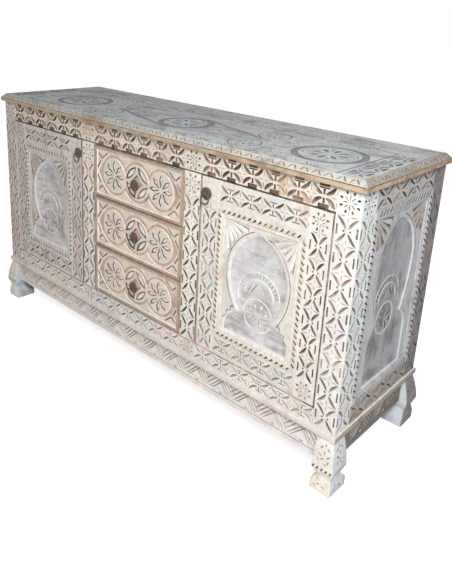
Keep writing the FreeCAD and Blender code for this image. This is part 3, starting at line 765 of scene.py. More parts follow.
class Arch:
    """A pointed horseshoe arch on spreading jambs, in a field, in mm."""

    def __init__(self, middle_u, low_v, half_field, field, width_shares, height_shares):
        """Widths of belly, waist and foot, and heights of apex, belly, waist and flare."""
        self.u, self.low, self.half_field, self.high = middle_u, low_v, half_field, low_v + field
        self.half_wide, self.half_waist, self.half_foot = (half_field * share for share in width_shares)
        self.apex, self.wide, self.waist, self.flare = (low_v + field * share for share in height_shares)

    def crown(self):
        """Centre and radius of the right-hand arc from the widest part to the apex."""
        rise = self.apex - self.wide
        centre = (self.half_wide**2 - rise**2) / (2 * self.half_wide)
        return (self.u + centre, self.wide), self.half_wide - centre

    def right_edge(self, outwards=0.0, steps=10):
        """Points from the apex down to the foot, moved outwards."""
        (crown_u, crown_v), crown_radius = self.crown()
        start = math.degrees(math.acos((self.u - crown_u) / (crown_radius + outwards)))
        points = arc((crown_u, crown_v), crown_radius + outwards, start, 0, steps)
        drop = self.wide - self.waist
        centre = (self.half_wide**2 - self.half_waist**2 - drop**2) / (2 * (self.half_wide - self.half_waist))
        radius = self.half_wide - centre
        end = -math.degrees(math.atan2(drop, self.half_waist - centre))
        points += arc((self.u + centre, self.wide), radius + outwards, 0, end, steps)[1:]
        drop = self.waist - self.flare
        centre = (self.half_foot**2 - self.half_waist**2 - drop**2) / (2 * (self.half_foot - self.half_waist))
        radius = self.half_foot - centre
        start = math.degrees(math.atan2(drop, self.half_waist - centre))
        points += arc((self.u + centre, self.flare), radius + outwards, start, 0, steps)[1:]
        points.append((self.u + self.half_foot + outwards, self.low))
        return points

    def outline(self, outwards=0.0, steps=10):
        right = self.right_edge(outwards, steps)
        return right + [(2 * self.u - u, v) for u, v in reversed(right[1:])]


# Steps of a scooped edge: shares of its width and of its depth
SCOOP_SHARES = ((0.3, 0.5), (0.3, 0.3), (0.4, 0.2))
FLOOR_SHARE = 0.62


def scooped_pocket(arch, depth, slope, finishes):
    """The block that is taken out of a panel for its arch, with a scooped edge round a flat floor."""
    cut = slab(arch.outline(), 0, 1)
    select(cut)
    bpy.ops.object.mode_set(mode="EDIT")
    for share_in, share_down in SCOOP_SHARES:
        bpy.ops.mesh.inset(thickness=slope * share_in * MM, depth=0)
        bpy.ops.transform.translate(value=(0, 0, -depth * share_down * MM))
    bpy.ops.object.mode_set(mode="OBJECT")
    for finish in finishes:
        cut.data.materials.append(finish)
    # The upper part of the scoop takes the first finish, the paler one, as a painted highlight; the lower
    # steps and the floor take the second.
    for face in cut.data.polygons:
        face.material_index = int(face.center.z < -FLOOR_SHARE * depth * MM)
    return facing_out(cut)


FAN_INSET = 2.0
FAN_START, FAN_SPREAD = 183.0, 84.0
FINGER_START, FINGER_GAP = 6.0, 7.0
FINGER_WIDTH_SHARE = 0.235
FINGER_DEPTH = 3.0


def spandrels(arch, margin=13.0, fingers=5, longest=106.0):
    """Fans of broad fingers in the two upper corners of a field, as far as a margin round its arch."""
    (crown_u, crown_v), crown_radius = arch.crown()
    marks = []
    for side in (1, -1):
        corner = Vector((arch.u + side * (arch.half_field - FAN_INSET), arch.high - FAN_INSET))
        centre = Vector((2 * arch.u - crown_u if side < 0 else crown_u, crown_v))
        back = corner - centre
        for number in range(fingers):
            turn = FAN_START + FAN_SPREAD / fingers * (number + 0.5)
            towards = Vector((side * math.cos(math.radians(turn)), math.sin(math.radians(turn))))
            along = back.dot(towards)
            room = along**2 - back.length_squared + (crown_radius + margin) ** 2
            length = -along - math.sqrt(room) if room > 0 else longest
            length = min(longest, length if length > 0 else longest)
            start = corner + towards * FINGER_START
            lean = math.degrees(math.atan2(towards.y, towards.x))
            width = (length - 4) * FINGER_WIDTH_SHARE
            marks.append(finger(start.x, start.y, lean, length - FINGER_GAP, width, FINGER_DEPTH))
    return joined(marks)


STEP_OUTLINE = ((14, 7), (24, 0), (21, -12), (39, -18), (36, -32), (52, -44))
STEP_HALF_WIDTH, STEP_DEPTH = 1.4, 2.0


def steps(arch):
    """A stepped line beside each jamb, from the waist down to the foot."""
    bars = []
    for start, end in zip(STEP_OUTLINE, STEP_OUTLINE[1:]):
        half = math.dist(start, end) / 2
        lean = math.degrees(math.atan2(end[1] - start[1], end[0] - start[0]))
        u, v = arch.half_waist + (start[0] + end[0]) / 2, arch.waist + (start[1] + end[1]) / 2
        for side in (1, -1):
            bars.append(mark("bar", arch.u + side * u, v, half, STEP_HALF_WIDTH, side * lean, STEP_DEPTH))
    return joined(bars)


MOON_RISE = 60.0
MOON_TICKS, MOON_TICK_TURN, MOON_TICK_START = 15, 11, 13
MOON_TICK_REACH = 63.5
# Cuts of the triangle in the moon: out and up from its middle, half length, half width, lean
TRIANGLE_CUTS = ((19, 21, 25, 3.0, -57), (36, 14, 18, 2.6, -64))
# Edges of the moon: radius, first and last turn, pieces
MOON_EDGES = ((75, -22, 202, 40), (52, -4, 184, 32))
MOON_EDGE_WIDTH = 3.4
RAY_REACH, RAY_HALF_LENGTH, RAY_HALF_WIDTH = 26.0, 20.0, 7.4
STAR_RING_RADIUS, STAR_RING_WIDTH = 51.0, 4.2


def moon_and_star(u, v, size, level):
    """A crescent with ticks and a triangle over a star in a circle: the shaded cuts, the rays, the rings."""
    moon_v = v + MOON_RISE * size
    ticks = []
    for step in range(MOON_TICKS):
        turn = MOON_TICK_TURN * step + MOON_TICK_START
        tick_at = around(u, moon_v, MOON_TICK_REACH * size, turn)
        ticks.append(mark("leaf", *tick_at, 7.5 * size, 2.2 * size, turn, 1.8, level))
    for side in (1, -1):
        for out, up, half, thick, lean in TRIANGLE_CUTS:
            cut_at = (u + side * out * size, moon_v + up * size)
            ticks.append(mark("leaf", *cut_at, half * size, thick, side * lean, 2, level))
    rays = []
    for step in range(8):
        turn = 45 * step + 22.5
        ray_at = around(u, v, RAY_REACH * size, turn)
        rays.append(mark("petal", *ray_at, RAY_HALF_LENGTH * size, RAY_HALF_WIDTH * size, turn, 2.4, level))
    rings = []
    for radius, start, end, pieces in MOON_EDGES:
        line = arc((u, moon_v), radius * size, start, end, pieces)
        rings.append(groove(line, MOON_EDGE_WIDTH * size, 1.6, level))
    rings.append(circle_groove(u, v, STAR_RING_RADIUS * size, STAR_RING_WIDTH * size, 1.8, level))
    return joined(ticks), joined(rays), rings


NOTCH_PITCH, NOTCH_HALF_WIDTH, NOTCH_TURN, NOTCH_DEPTH = 18.5, 3.0, 50, 3.6
NOTCH_LENGTH_SHARE = 1.45


def rope_notches(u_low, u_high, v, half_width, upright=False):
    """Slanted notches along a bead."""
    notch = mark("bar", 0, 0, half_width * NOTCH_LENGTH_SHARE, NOTCH_HALF_WIDTH, NOTCH_TURN, NOTCH_DEPTH)
    run = run_of(notch, u_low, u_high, NOTCH_PITCH)
    if upright:
        place(run, Matrix.Rotation(math.radians(90), 4, "Z"))
        return place(run, Matrix.Translation((v * MM, 0, 0)))
    return place(run, Matrix.Translation((0, v * MM, 0)))


# Strokes of a zigzag: side, lean, and how far out they start as a share of the pitch
STROKE_SIDES = ((1, 37, 0.5), (-1, 46, 0.52))
STROKE_GAP, STROKE_DEPTH = 12.0, 4.0


def strokes(u_low, u_high, v_low, v_high, pitch, thick):
    """A zigzag of slanted strokes along a board, with a small notch under each peak."""
    height = v_high - v_low
    marks = []
    for side, lean, reach in STROKE_SIDES:
        half = height / 2 / math.cos(math.radians(lean))
        for step in range(4):
            u = side * (pitch * reach / 2 - 15 + step * STROKE_GAP)
            share = 1 - 0.16 * max(0, step - 1)
            v = v_low + height / 2 + (1 - share) * height / 2
            marks.append(mark("leaf", u, v, half * share * 0.94, thick, 90 + side * lean, STROKE_DEPTH))
    marks.append(mark("kite", 0, v_low + 5, 10, 4, 0, 3))
    return run_of(joined(marks), u_low, u_high, pitch)


def in_mm(corner):
    return Vector(corner) / MM


# Case

# Dark lines along the rails' edges next to the doors and drawers, as painted shadow in the gaps: how far in
# from the edge, and how wide
RAIL_SHADOW_LINES = {"rail": (2, 5), "door": (1.5, 3)}


def front_rail(node, low, high, finish, cut_colours, style):
    """A rail across the front, with a star in a square above or below each inner stile."""
    piece = board(node + "_carved", low, high, FINISH[finish])
    low, high = in_mm(low), in_mm(high)
    near, far = in_mm(stile_low).x, in_mm(stile_high).x
    middle, height = (low.z + high.z) / 2, high.z - low.z
    for start, end in ((low.x, -far), (-near, near), (far, high.x)):
        carve_stars(piece, ON_FRONT, cut_colours, start, end, middle, height, style=style)
    for side in (1, -1):
        block = star_block(side * (near + far) / 2, middle, far - near, height)
        carved(piece, ON_FRONT, cut_colours[0], block, floor=cut_colours[1])
    # A dark line along the edge next to the doors and drawers: painted shadow in the gap.
    inset, width = RAIL_SHADOW_LINES[style]
    edge = low.z + inset if style == "rail" else high.z - inset
    seams(piece, ON_FRONT, cut_colours[0], [(low.x, edge), (high.x, edge)], width=width)
    return dress(piece, "case", node, slot="front_wash")


STILE_STAR_PITCH, POST_STAR_PITCH = 76, 77
STILE_SHADOW_LINE_WIDTH, SHADOW_LINE_INSET = 3.4, 1.0
LEDGE_GAP = 4.0


def inner_stile(node):
    low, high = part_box(node)
    piece = board(node + "_carved", low, high, FINISH["stile"])
    low, high = in_mm(low), in_mm(high)
    width, middle = high.x - low.x, (low.x + high.x) / 2
    block_low = high.z - width
    block = star_block(middle, block_low + width / 2, width, width)
    carved(piece, ON_FRONT, "dark_cut", block)
    band = (low.z, block_low, middle, width, STILE_STAR_PITCH)
    carve_stars(piece, ON_FRONT, DEEP_CUT_COLOURS, *band, upright=True, style="post")
    # Dark lines down both edges: painted shadow in the gaps beside the doors and drawers.
    lines = [[(u, low.z), (u, high.z)] for u in (low.x + SHADOW_LINE_INSET, high.x - SHADOW_LINE_INSET)]
    seams(piece, ON_FRONT, "dark_cut", *lines, width=STILE_SHADOW_LINE_WIDTH)
    return dress(piece, "case", node, slot="front_wash")


def above_ledge():
    return in_mm(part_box("base_frame")[1]).z + LEDGE_GAP


def front_post():
    """The right-hand front post, carved on its two outer faces."""
    piece = board("post_front_right_carved", post_low, post_high, FINISH["post"])
    # The side face takes a slightly darker finish: painted shade on the side.
    finished_by(piece, lambda face: int(face.normal.x > 0.9), FINISH["post"], FINISH["post_side"])
    low, high = in_mm(post_low), in_mm(post_high)
    width = high.x - low.x
    block_low = high.z - width
    for turn, middle, cut_colours in (
        (ON_FRONT, (low.x + high.x) / 2, LIGHT_CUT_COLOURS), (ON_RIGHT, (low.y + high.y) / 2, DEEP_CUT_COLOURS)
    ):
        carved(piece, turn, "dark_cut", star_block(middle, block_low + width / 2, width, width))
        band = (above_ledge(), block_low, middle, width, POST_STAR_PITCH)
        carve_stars(piece, turn, cut_colours, *band, upright=True, style="post")
    return piece


def back_post():
    low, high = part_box("post_back_right")
    piece = board("post_back_right_carved", low, high, FINISH["back_post"])
    low, high = in_mm(low), in_mm(high)
    band = (above_ledge(), high.z, (low.y + high.y) / 2, high.y - low.y, POST_STAR_PITCH)
    return carve_stars(piece, ON_RIGHT, SHADED_CUT_COLOURS, *band, upright=True, style="post")


# Darker finishes for the left-hand copies, and darker cuts there: partly a greyer wash, partly painted shade
# on the side farther from the light.
LEFT_WASH_AND_SHADE = {
    "post": "left_post", "door": "left_door", "door_rail": "left_door", "brown_cut": "dark_cut",
    "shade_cut": "slope_cut", "pale_cut": "slope_cut", "panel": "left_door", "margin": "bead",
}


def both_sides(make, name):
    """A piece on the right and its mirror image on the left, in darker finishes that are partly painted
    shade.
    """
    right = make()
    left = repainted(mirrored(right, right.name.replace("right", "left")), LEFT_WASH_AND_SHADE)
    for piece, side in ((right, "right"), (left, "left")):
        dress(piece, "case", name.format(side), slot="front_wash")


SIDE_STAR_PITCH = 84
HALFWAY_UP = 0.5


def side_rails():
    pieces = []
    for low, high in solids_of("side_rails"):
        if high.x < 0:
            continue
        # The lower side rails take a darker finish than the upper ones: painted shade.
        finish = "side_rail" if low.z > HALFWAY_UP else "low_side_rail"
        piece = board("side_rails_carved", low, high, FINISH[finish])
        low, high = in_mm(low), in_mm(high)
        band = (low.y, high.y, (low.z + high.z) / 2, high.z - low.z, SIDE_STAR_PITCH)
        pieces.append(carve_stars(piece, ON_RIGHT, SHADED_CUT_COLOURS, *band, style="door"))
    pieces += [mirrored(piece, piece.name) for piece in pieces]
    return dress(joined(pieces), "case", "side_rails", slot="side_wash")


SIDE_FACE_INSET = 4.0
POCKET_DEPTH = 7.0
SIDE_BEAD_MARGIN = 24.0
DOOR_BEAD_MARGIN = 22.0
SIDE_SCOOP, DOOR_SCOOP = 13.0, 24.0
SIDE_WIDTH_SHARES, SIDE_HEIGHT_SHARES = (0.73, 0.49, 0.78), (0.96, 0.69, 0.362, 0.228)
DOOR_WIDTH_SHARES, DOOR_HEIGHT_SHARES = (0.82, 0.52, 0.93), (0.95, 0.565, 0.245, 0.045)
EDGE_LINE_GAP, EDGE_LINE_WIDTH = 8.0, 2.6
SIDE_FAN_REACH = 92.0
# Where the star in a panel sits, and its size as a share
SIDE_STAR_U, SIDE_STAR_Z, SIDE_STAR_SHARE = -14, 456, 0.95
DOOR_STAR_OUT, DOOR_STAR_Z = 6, 426
SIDE_BEAD_HALF, SIDE_BEAD_CLEAR = 7.0, 16
DOOR_BEAD_HALF, DOOR_BEAD_CLEAR, BEAD_FACE_DEPTH = 5.0, 12, 1.5


def edge_lines(arch, points_left_out):
    """Lines that follow an arch on both sides, as far down as its waist or its jambs."""
    edge = arch.right_edge(EDGE_LINE_GAP)[1:-points_left_out]
    return [groove(edge, EDGE_LINE_WIDTH), groove([(2 * arch.u - u, v) for u, v in edge], EDGE_LINE_WIDTH)]


def side_panels():
    low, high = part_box("right_side_panel")
    piece = board("right_side_panel_carved", low, high, FINISH["side"], 0.4)
    low, high = in_mm(low), in_mm(high)
    field = high.z - low.z - 2 * SIDE_BEAD_MARGIN
    half_field = high.y - SIDE_BEAD_MARGIN
    arch = Arch(0, low.z + SIDE_BEAD_MARGIN, half_field, field, SIDE_WIDTH_SHARES, SIDE_HEIGHT_SHARES)
    turn = ON_RIGHT @ Matrix.Translation((0, 0, -SIDE_FACE_INSET * MM))
    pocket = scooped_pocket(arch, POCKET_DEPTH, SIDE_SCOOP, (FINISH["side_slope"], FINISH["side_pocket"]))
    cut_away(piece, place(pocket, turn))
    lines = edge_lines(arch, 6)
    carved(piece, turn, "grey_cut", spandrels(arch, longest=SIDE_FAN_REACH), floor="side", crossing=True)
    carved(piece, turn, "brown_cut", *lines, crossing=True)
    ticks, rays, rings = moon_and_star(SIDE_STAR_U, SIDE_STAR_Z, SIDE_STAR_SHARE, -POCKET_DEPTH)
    carved(piece, turn, "dark_cut", ticks, crossing=True)
    carved(piece, turn, "dark_cut", rays, floor="side_slope", crossing=True)
    carved(piece, turn, "side_slope", *rings, crossing=True)
    piece = smooth(piece, 20)
    dress(piece, "case", "right_side_panel", slot="side_wash")
    dress(mirrored(piece, "left_side_panel_carved"), "case", "left_side_panel", slot="side_wash")


def notched(bead, turn, low, high, half, clear):
    """Cut notches along the four strips of a bead: half a strip's width, and how far its ends stay clear."""
    for v in (low.z + half, high.z - half):
        carved(bead, turn, "dark_cut", rope_notches(low[0] + clear, high[0] - clear, v, half))
    for u in (low[0] + half, high[0] - half):
        carved(bead, turn, "dark_cut", rope_notches(low.z + clear, high.z - clear, u, half, upright=True))
    return bead


def side_beading():
    piece = finished(node_copy("right_side_beading_cut", "right_side_beading"), FINISH["side_bead"])
    low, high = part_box("right_side_beading")
    turn = Matrix.Translation((high.x - SIDE_X, 0, 0)) @ ON_RIGHT
    low, high = in_mm(low), in_mm(high)
    notched(piece, turn, low.yzz, high.yzz, SIDE_BEAD_HALF, SIDE_BEAD_CLEAR)
    dress(piece, "case", "right_side_beading", slot="side_wash")
    dress(mirrored(piece, "left_side_beading_cut"), "case", "left_side_beading", slot="side_wash")


# Doors

DOOR_STAR_PITCH = 76
DOOR_BAND = 60
STILE_BAND_MIDDLE, UPPER_BAND_MIDDLE, LOWER_BAND_MIDDLE = 38, 36, 34
CORNER_STAR = 62
CORNER_STAR_MIDDLE = 32
BARE_BELOW_PULL = 92
STAR_END_GAP = 2
PANEL_TONGUE = 5


def door_stile(low, high, panel_high):
    stile = board("right_door_stiles_carved", low, high, FINISH["door"])
    low, high = in_mm(low), in_mm(high)
    outer = low.x > panel_high.x - PANEL_TONGUE
    middle = (high.x - STILE_BAND_MIDDLE) if outer else (low.x + STILE_BAND_MIDDLE)
    if outer:
        start, end = low.z + CORNER_STAR, high.z - CORNER_STAR
        for v in (low.z + CORNER_STAR_MIDDLE, high.z - CORNER_STAR_MIDDLE):
            carved(stile, ON_FRONT, "brown_cut", star_block(middle, v, CORNER_STAR, CORNER_STAR))
    else:
        start, end = low.z + STAR_END_GAP, high.z - BARE_BELOW_PULL
    band = (start, end, middle, DOOR_BAND, DOOR_STAR_PITCH)
    carve_stars(stile, ON_FRONT, DEEP_CUT_COLOURS if outer else LIGHT_CUT_COLOURS, *band, upright=True, style="post")
    # A dark line down the edge at the gap: painted shadow.
    shadow_line_u = high.x - SHADOW_LINE_INSET if outer else low.x + SHADOW_LINE_INSET
    return seams(stile, ON_FRONT, "dark_cut", [(shadow_line_u, low.z), (shadow_line_u, high.z)])


def door_rail(low, high, panel_high):
    rail = board("right_door_rails_carved", low, high, FINISH["door_rail"])
    low, high = in_mm(low), in_mm(high)
    upper = low.z > panel_high.z - PANEL_TONGUE
    middle = high.z - UPPER_BAND_MIDDLE if upper else low.z + LOWER_BAND_MIDDLE
    band = (low.x, high.x, middle, DOOR_BAND, DOOR_STAR_PITCH)
    return carve_stars(rail, ON_FRONT, DEEP_CUT_COLOURS if upper else LIGHT_CUT_COLOURS, *band, style="door")


def door_panel():
    low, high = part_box("right_door_panel")
    panel = board("right_door_panel_carved", low, high, FINISH["panel"], 0.4)
    turn = Matrix.Translation((0, low.y - FRONT_Y, 0)) @ ON_FRONT
    low, high = in_mm(low), in_mm(high)
    middle = (low.x + high.x) / 2
    field = high.z - low.z - 2 * DOOR_BEAD_MARGIN
    half_field = (high.x - low.x) / 2 - DOOR_BEAD_MARGIN
    arch = Arch(middle, low.z + DOOR_BEAD_MARGIN, half_field, field, DOOR_WIDTH_SHARES, DOOR_HEIGHT_SHARES)
    pocket = scooped_pocket(arch, POCKET_DEPTH, DOOR_SCOOP, (FINISH["slope"], FINISH["pocket"]))
    cut_away(panel, place(pocket, turn))
    carved(panel, turn, "pale_cut", spandrels(arch), floor="slope", crossing=True)
    carved(panel, turn, "brown_cut", *edge_lines(arch, 9), steps(arch), crossing=True)
    ticks, rays, rings = moon_and_star(middle + DOOR_STAR_OUT, DOOR_STAR_Z, 1, -POCKET_DEPTH)
    carved(panel, turn, "pale_cut", ticks, crossing=True)
    carved(panel, turn, "pale_cut", rays, floor="chalk", crossing=True)
    carved(panel, turn, "chalk", *rings, crossing=True)
    return smooth(panel, 20)


def door_beading():
    bead = node_copy("right_door_beading_cut", "right_door_beading")
    low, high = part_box("right_door_beading")

    def behind(face):
        return int(face.center.y > low.y + BEAD_FACE_DEPTH * MM)

    finished_by(bead, behind, FINISH["bead"], FINISH["margin"])
    turn = Matrix.Translation((0, low.y - FRONT_Y, 0)) @ ON_FRONT
    return notched(bead, turn, in_mm(low), in_mm(high), DOOR_BEAD_HALF, DOOR_BEAD_CLEAR)


def door():
    """The right-hand door's pieces. The left-hand door is its mirror image, in darker finishes that are
    partly painted shade.
    """
    panel_high = in_mm(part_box("right_door_panel")[1])
    made = {
        "stiles": joined([door_stile(*corners, panel_high) for corners in solids_of("right_door_stiles")]),
        "rails": joined([door_rail(*corners, panel_high) for corners in solids_of("right_door_rails")]),
        "panel": door_panel(),
        "beading": door_beading(),
    }
    for part, piece in made.items():
        left = repainted(mirrored(piece, piece.name.replace("right", "left")), LEFT_WASH_AND_SHADE)
        dress(piece, "right_door", "right_door_" + part, slot="front_wash")
        dress(left, "left_door", "left_door_" + part, slot="front_wash")


# Drawers

CIRCLE_SPACING = 117.0
DRAWER_BORDER = 13.0
BORDER_LINE_OUT = 5.5
DRAWER_SHADOW_LINE_INSET = 1.5
FIELD_DEPTH = 3.0
# How deep the raised face, the field, the channels and the front's carving go at most
FACE_LIMIT, FIELD_LIMIT, CHANNEL_LIMIT, BACK_LIMIT = 1, 4, 6, 9
PETAL_REACH, PETAL_HALF_LENGTH, PETAL_HALF_WIDTH, PETAL_DEPTH = 30, 25.6, 9.2, 2.2
VESICA_REACH, VESICA_HALF_LENGTH, VESICA_HALF_WIDTH = 41, 38, 13.5
WORN_DIAMOND = 22
# Bars in each corner: out and up from the middle, half length, half width, lean
CORNER_BARS = ((192, 57, 13, 2.8, -42), (167, 61, 18, 2.4, 40), (199, 26, 17, 3.2, 58))


def rectangle(half_u, half_v, middle):
    corners = ((-half_u, -half_v), (half_u, -half_v), (half_u, half_v), (-half_u, half_v))
    return [(u, middle + v) for u, v in corners]


def drawer_front(number):
    node = f"drawer_{number}_front"
    low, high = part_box(node)
    piece = node_copy(node + "_carved", node)

    def level_of(face):
        depth = (face.center.y - FRONT_Y) / MM
        if face.normal.y > -0.9:
            return 3 if depth < CHANNEL_LIMIT else 0
        if depth < FACE_LIMIT or depth > BACK_LIMIT:
            return 0
        return 1 if depth < FIELD_LIMIT else 2

    # The channels' floors take the darker channel finish, partly painted shade.
    finished_by(piece, level_of, FINISH["drawer_border"], FINISH["drawer"], FINISH["channel"], FINISH["rim"])
    soften(piece, 1.3 * MM, 2, 40, 3)
    low, high = in_mm(low), in_mm(high)
    middle, half_height = (low.z + high.z) / 2, (high.z - low.z) / 2
    inset = DRAWER_BORDER - BORDER_LINE_OUT
    border = groove(rectangle(high.x - inset, half_height - inset, middle), 2.4, 1.8, closed=True)
    carved(piece, ON_FRONT, "brown_cut", border)
    turn = ON_FRONT @ Matrix.Translation((0, 0, -FIELD_DEPTH * MM))
    petals = []
    for u in (-CIRCLE_SPACING, CIRCLE_SPACING):
        for lean in range(0, 360, 45):
            petal_at = around(u, middle, PETAL_REACH, lean)
            petals.append(mark("petal", *petal_at, PETAL_HALF_LENGTH, PETAL_HALF_WIDTH, lean, PETAL_DEPTH))
    for lean in range(45, 360, 90):
        vesica_at = around(0, middle, VESICA_REACH, lean)
        vesica = mark("vesica", *vesica_at, VESICA_HALF_LENGTH, VESICA_HALF_WIDTH, lean + 90, PETAL_DEPTH)
        petals.append(vesica)
    carved(piece, turn, "dark_cut", joined(petals), floor="rim")
    bars = []
    for side in (1, -1):
        for level in (1, -1):
            for out, up, half, thick, lean in CORNER_BARS:
                slant = -side * level * lean
                bars.append(mark("bar", side * out, middle + level * up, half, thick, slant, 3))
    carved(piece, turn, "dark_cut", joined(bars), floor="grey_cut", crossing=True)
    diamond = mark("block", 0, middle, WORN_DIAMOND, WORN_DIAMOND, 45, 1.0)
    carved(piece, turn, "brown_cut", diamond, floor="channel")
    # A dark groove round the drawer's edge: painted shadow in the gap round the drawer.
    outline = rectangle(high.x - DRAWER_SHADOW_LINE_INSET, half_height - DRAWER_SHADOW_LINE_INSET, middle)
    carved(piece, ON_FRONT, "dark_cut", groove(outline, 4.4, 3.5, closed=True))
    return dress(piece, f"drawer_{number}", node, slot="front_wash")


# Base

LEDGE_SIDE_X = SIDE_X - 0.03
APRON_BORDER = 17
STROKES_BELOW_LEDGE = 3
FRONT_APRON_REACH = 765
SIDE_APRON_CLEAR = 44
FRONT_STROKES = (104, 2.6)
SIDE_STROKES = (112, 3.0)


def ledge():
    piece = node_copy("base_frame_worn", "base_frame")

    def on_side(face):
        return int(abs(face.center.x) > LEDGE_SIDE_X)

    # The ledge's side faces take a darker finish: painted shade on the side.
    finished_by(piece, on_side, FINISH["ledge"], FINISH["side_ledge"])
    return dress(smooth(soften(piece, 2.5 * MM, 3)), "case", "base_frame", slot="front_wash")


def apron_carving(piece, turn, cut_colours, low_u, high_u, line_low_u, line_high_u, low_v, high_v, zigzag):
    """Strokes over a line along an apron's lower border."""
    walls, floor, line_cut_colour = cut_colours
    line_v = low_v + APRON_BORDER
    marks = strokes(low_u, high_u, line_v + 2, high_v - STROKES_BELOW_LEDGE, *zigzag)
    carved(piece, turn, walls, marks, floor=floor, crossing=True)
    return carved(piece, turn, line_cut_colour, groove([(line_low_u, line_v), (line_high_u, line_v)], 2.4))


def aprons():
    low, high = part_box("front_apron")
    piece = board("front_apron_carved", low, high, FINISH["base_rail"])
    turn = Matrix.Translation((0, low.y - FRONT_Y, 0)) @ ON_FRONT
    low, high = in_mm(low), in_mm(high)
    ends = (-FRONT_APRON_REACH, FRONT_APRON_REACH)
    cut_colours = ("pale_cut", "shade_cut", "pale_cut")
    apron_carving(piece, turn, cut_colours, *ends, *ends, low.z, high.z, FRONT_STROKES)
    dress(piece, "case", "front_apron", slot="front_wash")
    pieces = []
    for low, high in solids_of("side_and_back_aprons"):
        along_side = high.x - low.x < high.y - low.y
        if along_side and high.x < 0:
            continue
        part = board("side_and_back_aprons_carved", low, high, FINISH["side_apron"])
        if along_side:
            turn = Matrix.Translation((high.x - SIDE_X, 0, 0)) @ ON_RIGHT
            low, high = in_mm(low), in_mm(high)
            ends = (low.y + SIDE_APRON_CLEAR, high.y - SIDE_APRON_CLEAR)
            cut_colours = ("shade_cut", "shade_cut", "dark_cut")
            apron_carving(part, turn, cut_colours, *ends, low.y, high.y, low.z, high.z, SIDE_STROKES)
            pieces.append(mirrored(part, part.name))
        pieces.append(part)
    dress(joined(pieces), "case", "side_and_back_aprons", slot="front_wash")


# Strokes of the scroll on a foot: out from its middle, height, half length, lean
FOOT_SCROLL = (
    (0, 152, 7, 90), (-11, 142, 8, 52), (11, 142, 8, -52), (0, 130, 8, 90), (-13, 122, 9, -44),
    (13, 122, 9, 44), (-4, 112, 7, 20), (15, 108, 7, 70), (-17, 106, 7, -70), (6, 99, 7, -20),
    (-9, 26, 7, 30), (8, 22, 8, -24), (-20, 18, 6, -60),
)
FOOT_CHIPS, FOOT_CHIP_Z = (-27, -14, 0, 14, 27), 80


def below(piece, turn, u, v):
    """How far a face lies under the layout's plane at one place, in mm."""
    bpy.context.view_layer.update()
    hit, where, *_ = piece.ray_cast(turn @ Vector((u * MM, v * MM, 0.1)), turn.to_3x3() @ Vector((0, 0, -1)))
    return (turn.inverted() @ where).z / MM if hit else 0.0


def foot(node):
    side = 1 if "right" in node else -1
    front = "front" in node
    piece = node_copy(node + "_carved", node)
    # Side faces take a darker finish than the front, and the back feet darker still: painted shade.
    if front:
        finished_by(piece, lambda face: int(abs(face.normal.x) > 0.6), FINISH["foot"], FINISH["foot_side"])
    else:
        finished_by(piece, lambda face: int(face.normal.y < -0.6), FINISH["back_post"], FINISH["foot_side"])
    smooth(soften(piece, 2.2 * MM, 2, 25), 40)
    low, high = (in_mm(corner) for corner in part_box(node))
    faces = [(ON_RIGHT if side > 0 else ON_LEFT, (low.y + high.y) / 2, "brown_cut", "grey_cut")]
    if front:
        faces.append((ON_FRONT, (low.x + high.x) / 2, "pale_cut", "dark_cut"))
    for turn, middle, scroll_cut_colour, chip_cut_colour in faces:
        middle *= 1 if turn is not ON_LEFT else -1
        marks, chips = [], []
        for out, v, half, lean in FOOT_SCROLL:
            level = below(piece, turn, middle + out, v)
            marks.append(mark("leaf", middle + out, v, half, 2.6, lean, 3, level))
        for out in FOOT_CHIPS:
            level = below(piece, turn, middle + out, FOOT_CHIP_Z)
            chips.append(mark("leaf", middle + out, FOOT_CHIP_Z, 9, 2.8, 62, 4, level))
        carved(piece, turn, scroll_cut_colour, joined(marks), crossing=True)
        carved(piece, turn, chip_cut_colour, joined(chips), crossing=True)
    return dress(piece, "case", node, slot="foot_wash")


# Top

TOP_CARVING_DEPTH = 2.2
BEVEL_RUN = 15
MEDALLIONS = ((-497, 60, 617), -75)
MEDALLION_RADII = (88, 75, 88)
ROUNDEL_OUT, ROUNDEL_UP, ROUNDEL_RADIUS = 315, 75, 46
POINT_SHARE = 0.62
LUNETTE_PITCH, LUNETTE_REACH, LUNETTE_TURNS = 92, 18, range(10, 171, 32)
LUNETTE_LOW_V, LUNETTE_HIGH_V, LUNETTE_END_U = 4, 96, 700
END_BAND_HIGH_V, END_BAND_INSET, END_BAND_WIDTH, END_BAND_PITCH = 88, 40, 62, 80
SPRIG_GAP, SPRIG_END_U, SPRIG_LOW_V, SPRIG_HIGH_V = 34, 690, 44, 168
MEDALLION_CLEAR, ROUNDEL_CLEAR = 112, 58
DASH_PITCH, TOOTH_PITCH, END_MARGIN = 48, 36, 20
LIP_LINE_DOWN, SLOPE_DOWN = 16.2, 15.5
RIM_LINE_INSET, BACK_LINE_INSET, DASH_INSET = 2, 9, 24
POINTS_REACH, POINTS_HALF_WIDTH = 330, 78
SPRIG_LEAN = 52


def flower(u, v, radius, petals):
    """Petals in a ring, with short lines between them and a ring of ticks outside."""
    half = 180 / petals
    marks = []
    for step in range(petals):
        turn = 2 * half * step
        petal_at = around(u, v, radius * 0.45, turn)
        outer_at, inner_at = (around(u, v, radius * reach, turn + half) for reach in (0.86, 0.6))
        marks.append(mark("petal", *petal_at, radius * 0.28, radius * 0.1, turn, 2.2))
        marks.append(mark("leaf", *outer_at, radius * 0.12, 3.4, turn + half + 90, 2))
        marks.append(mark("leaf", *inner_at, radius * 0.13, 2.6, turn + half, 2))
    return joined(marks)


def lunettes(low_u, high_u, v):
    """A row of half rounds, each made of short ticks."""
    ticks = [mark("leaf", *around(0, v, LUNETTE_REACH, turn), 8, 3.4, turn, 2.6) for turn in LUNETTE_TURNS]
    return run_of(joined(ticks), low_u, high_u, LUNETTE_PITCH)


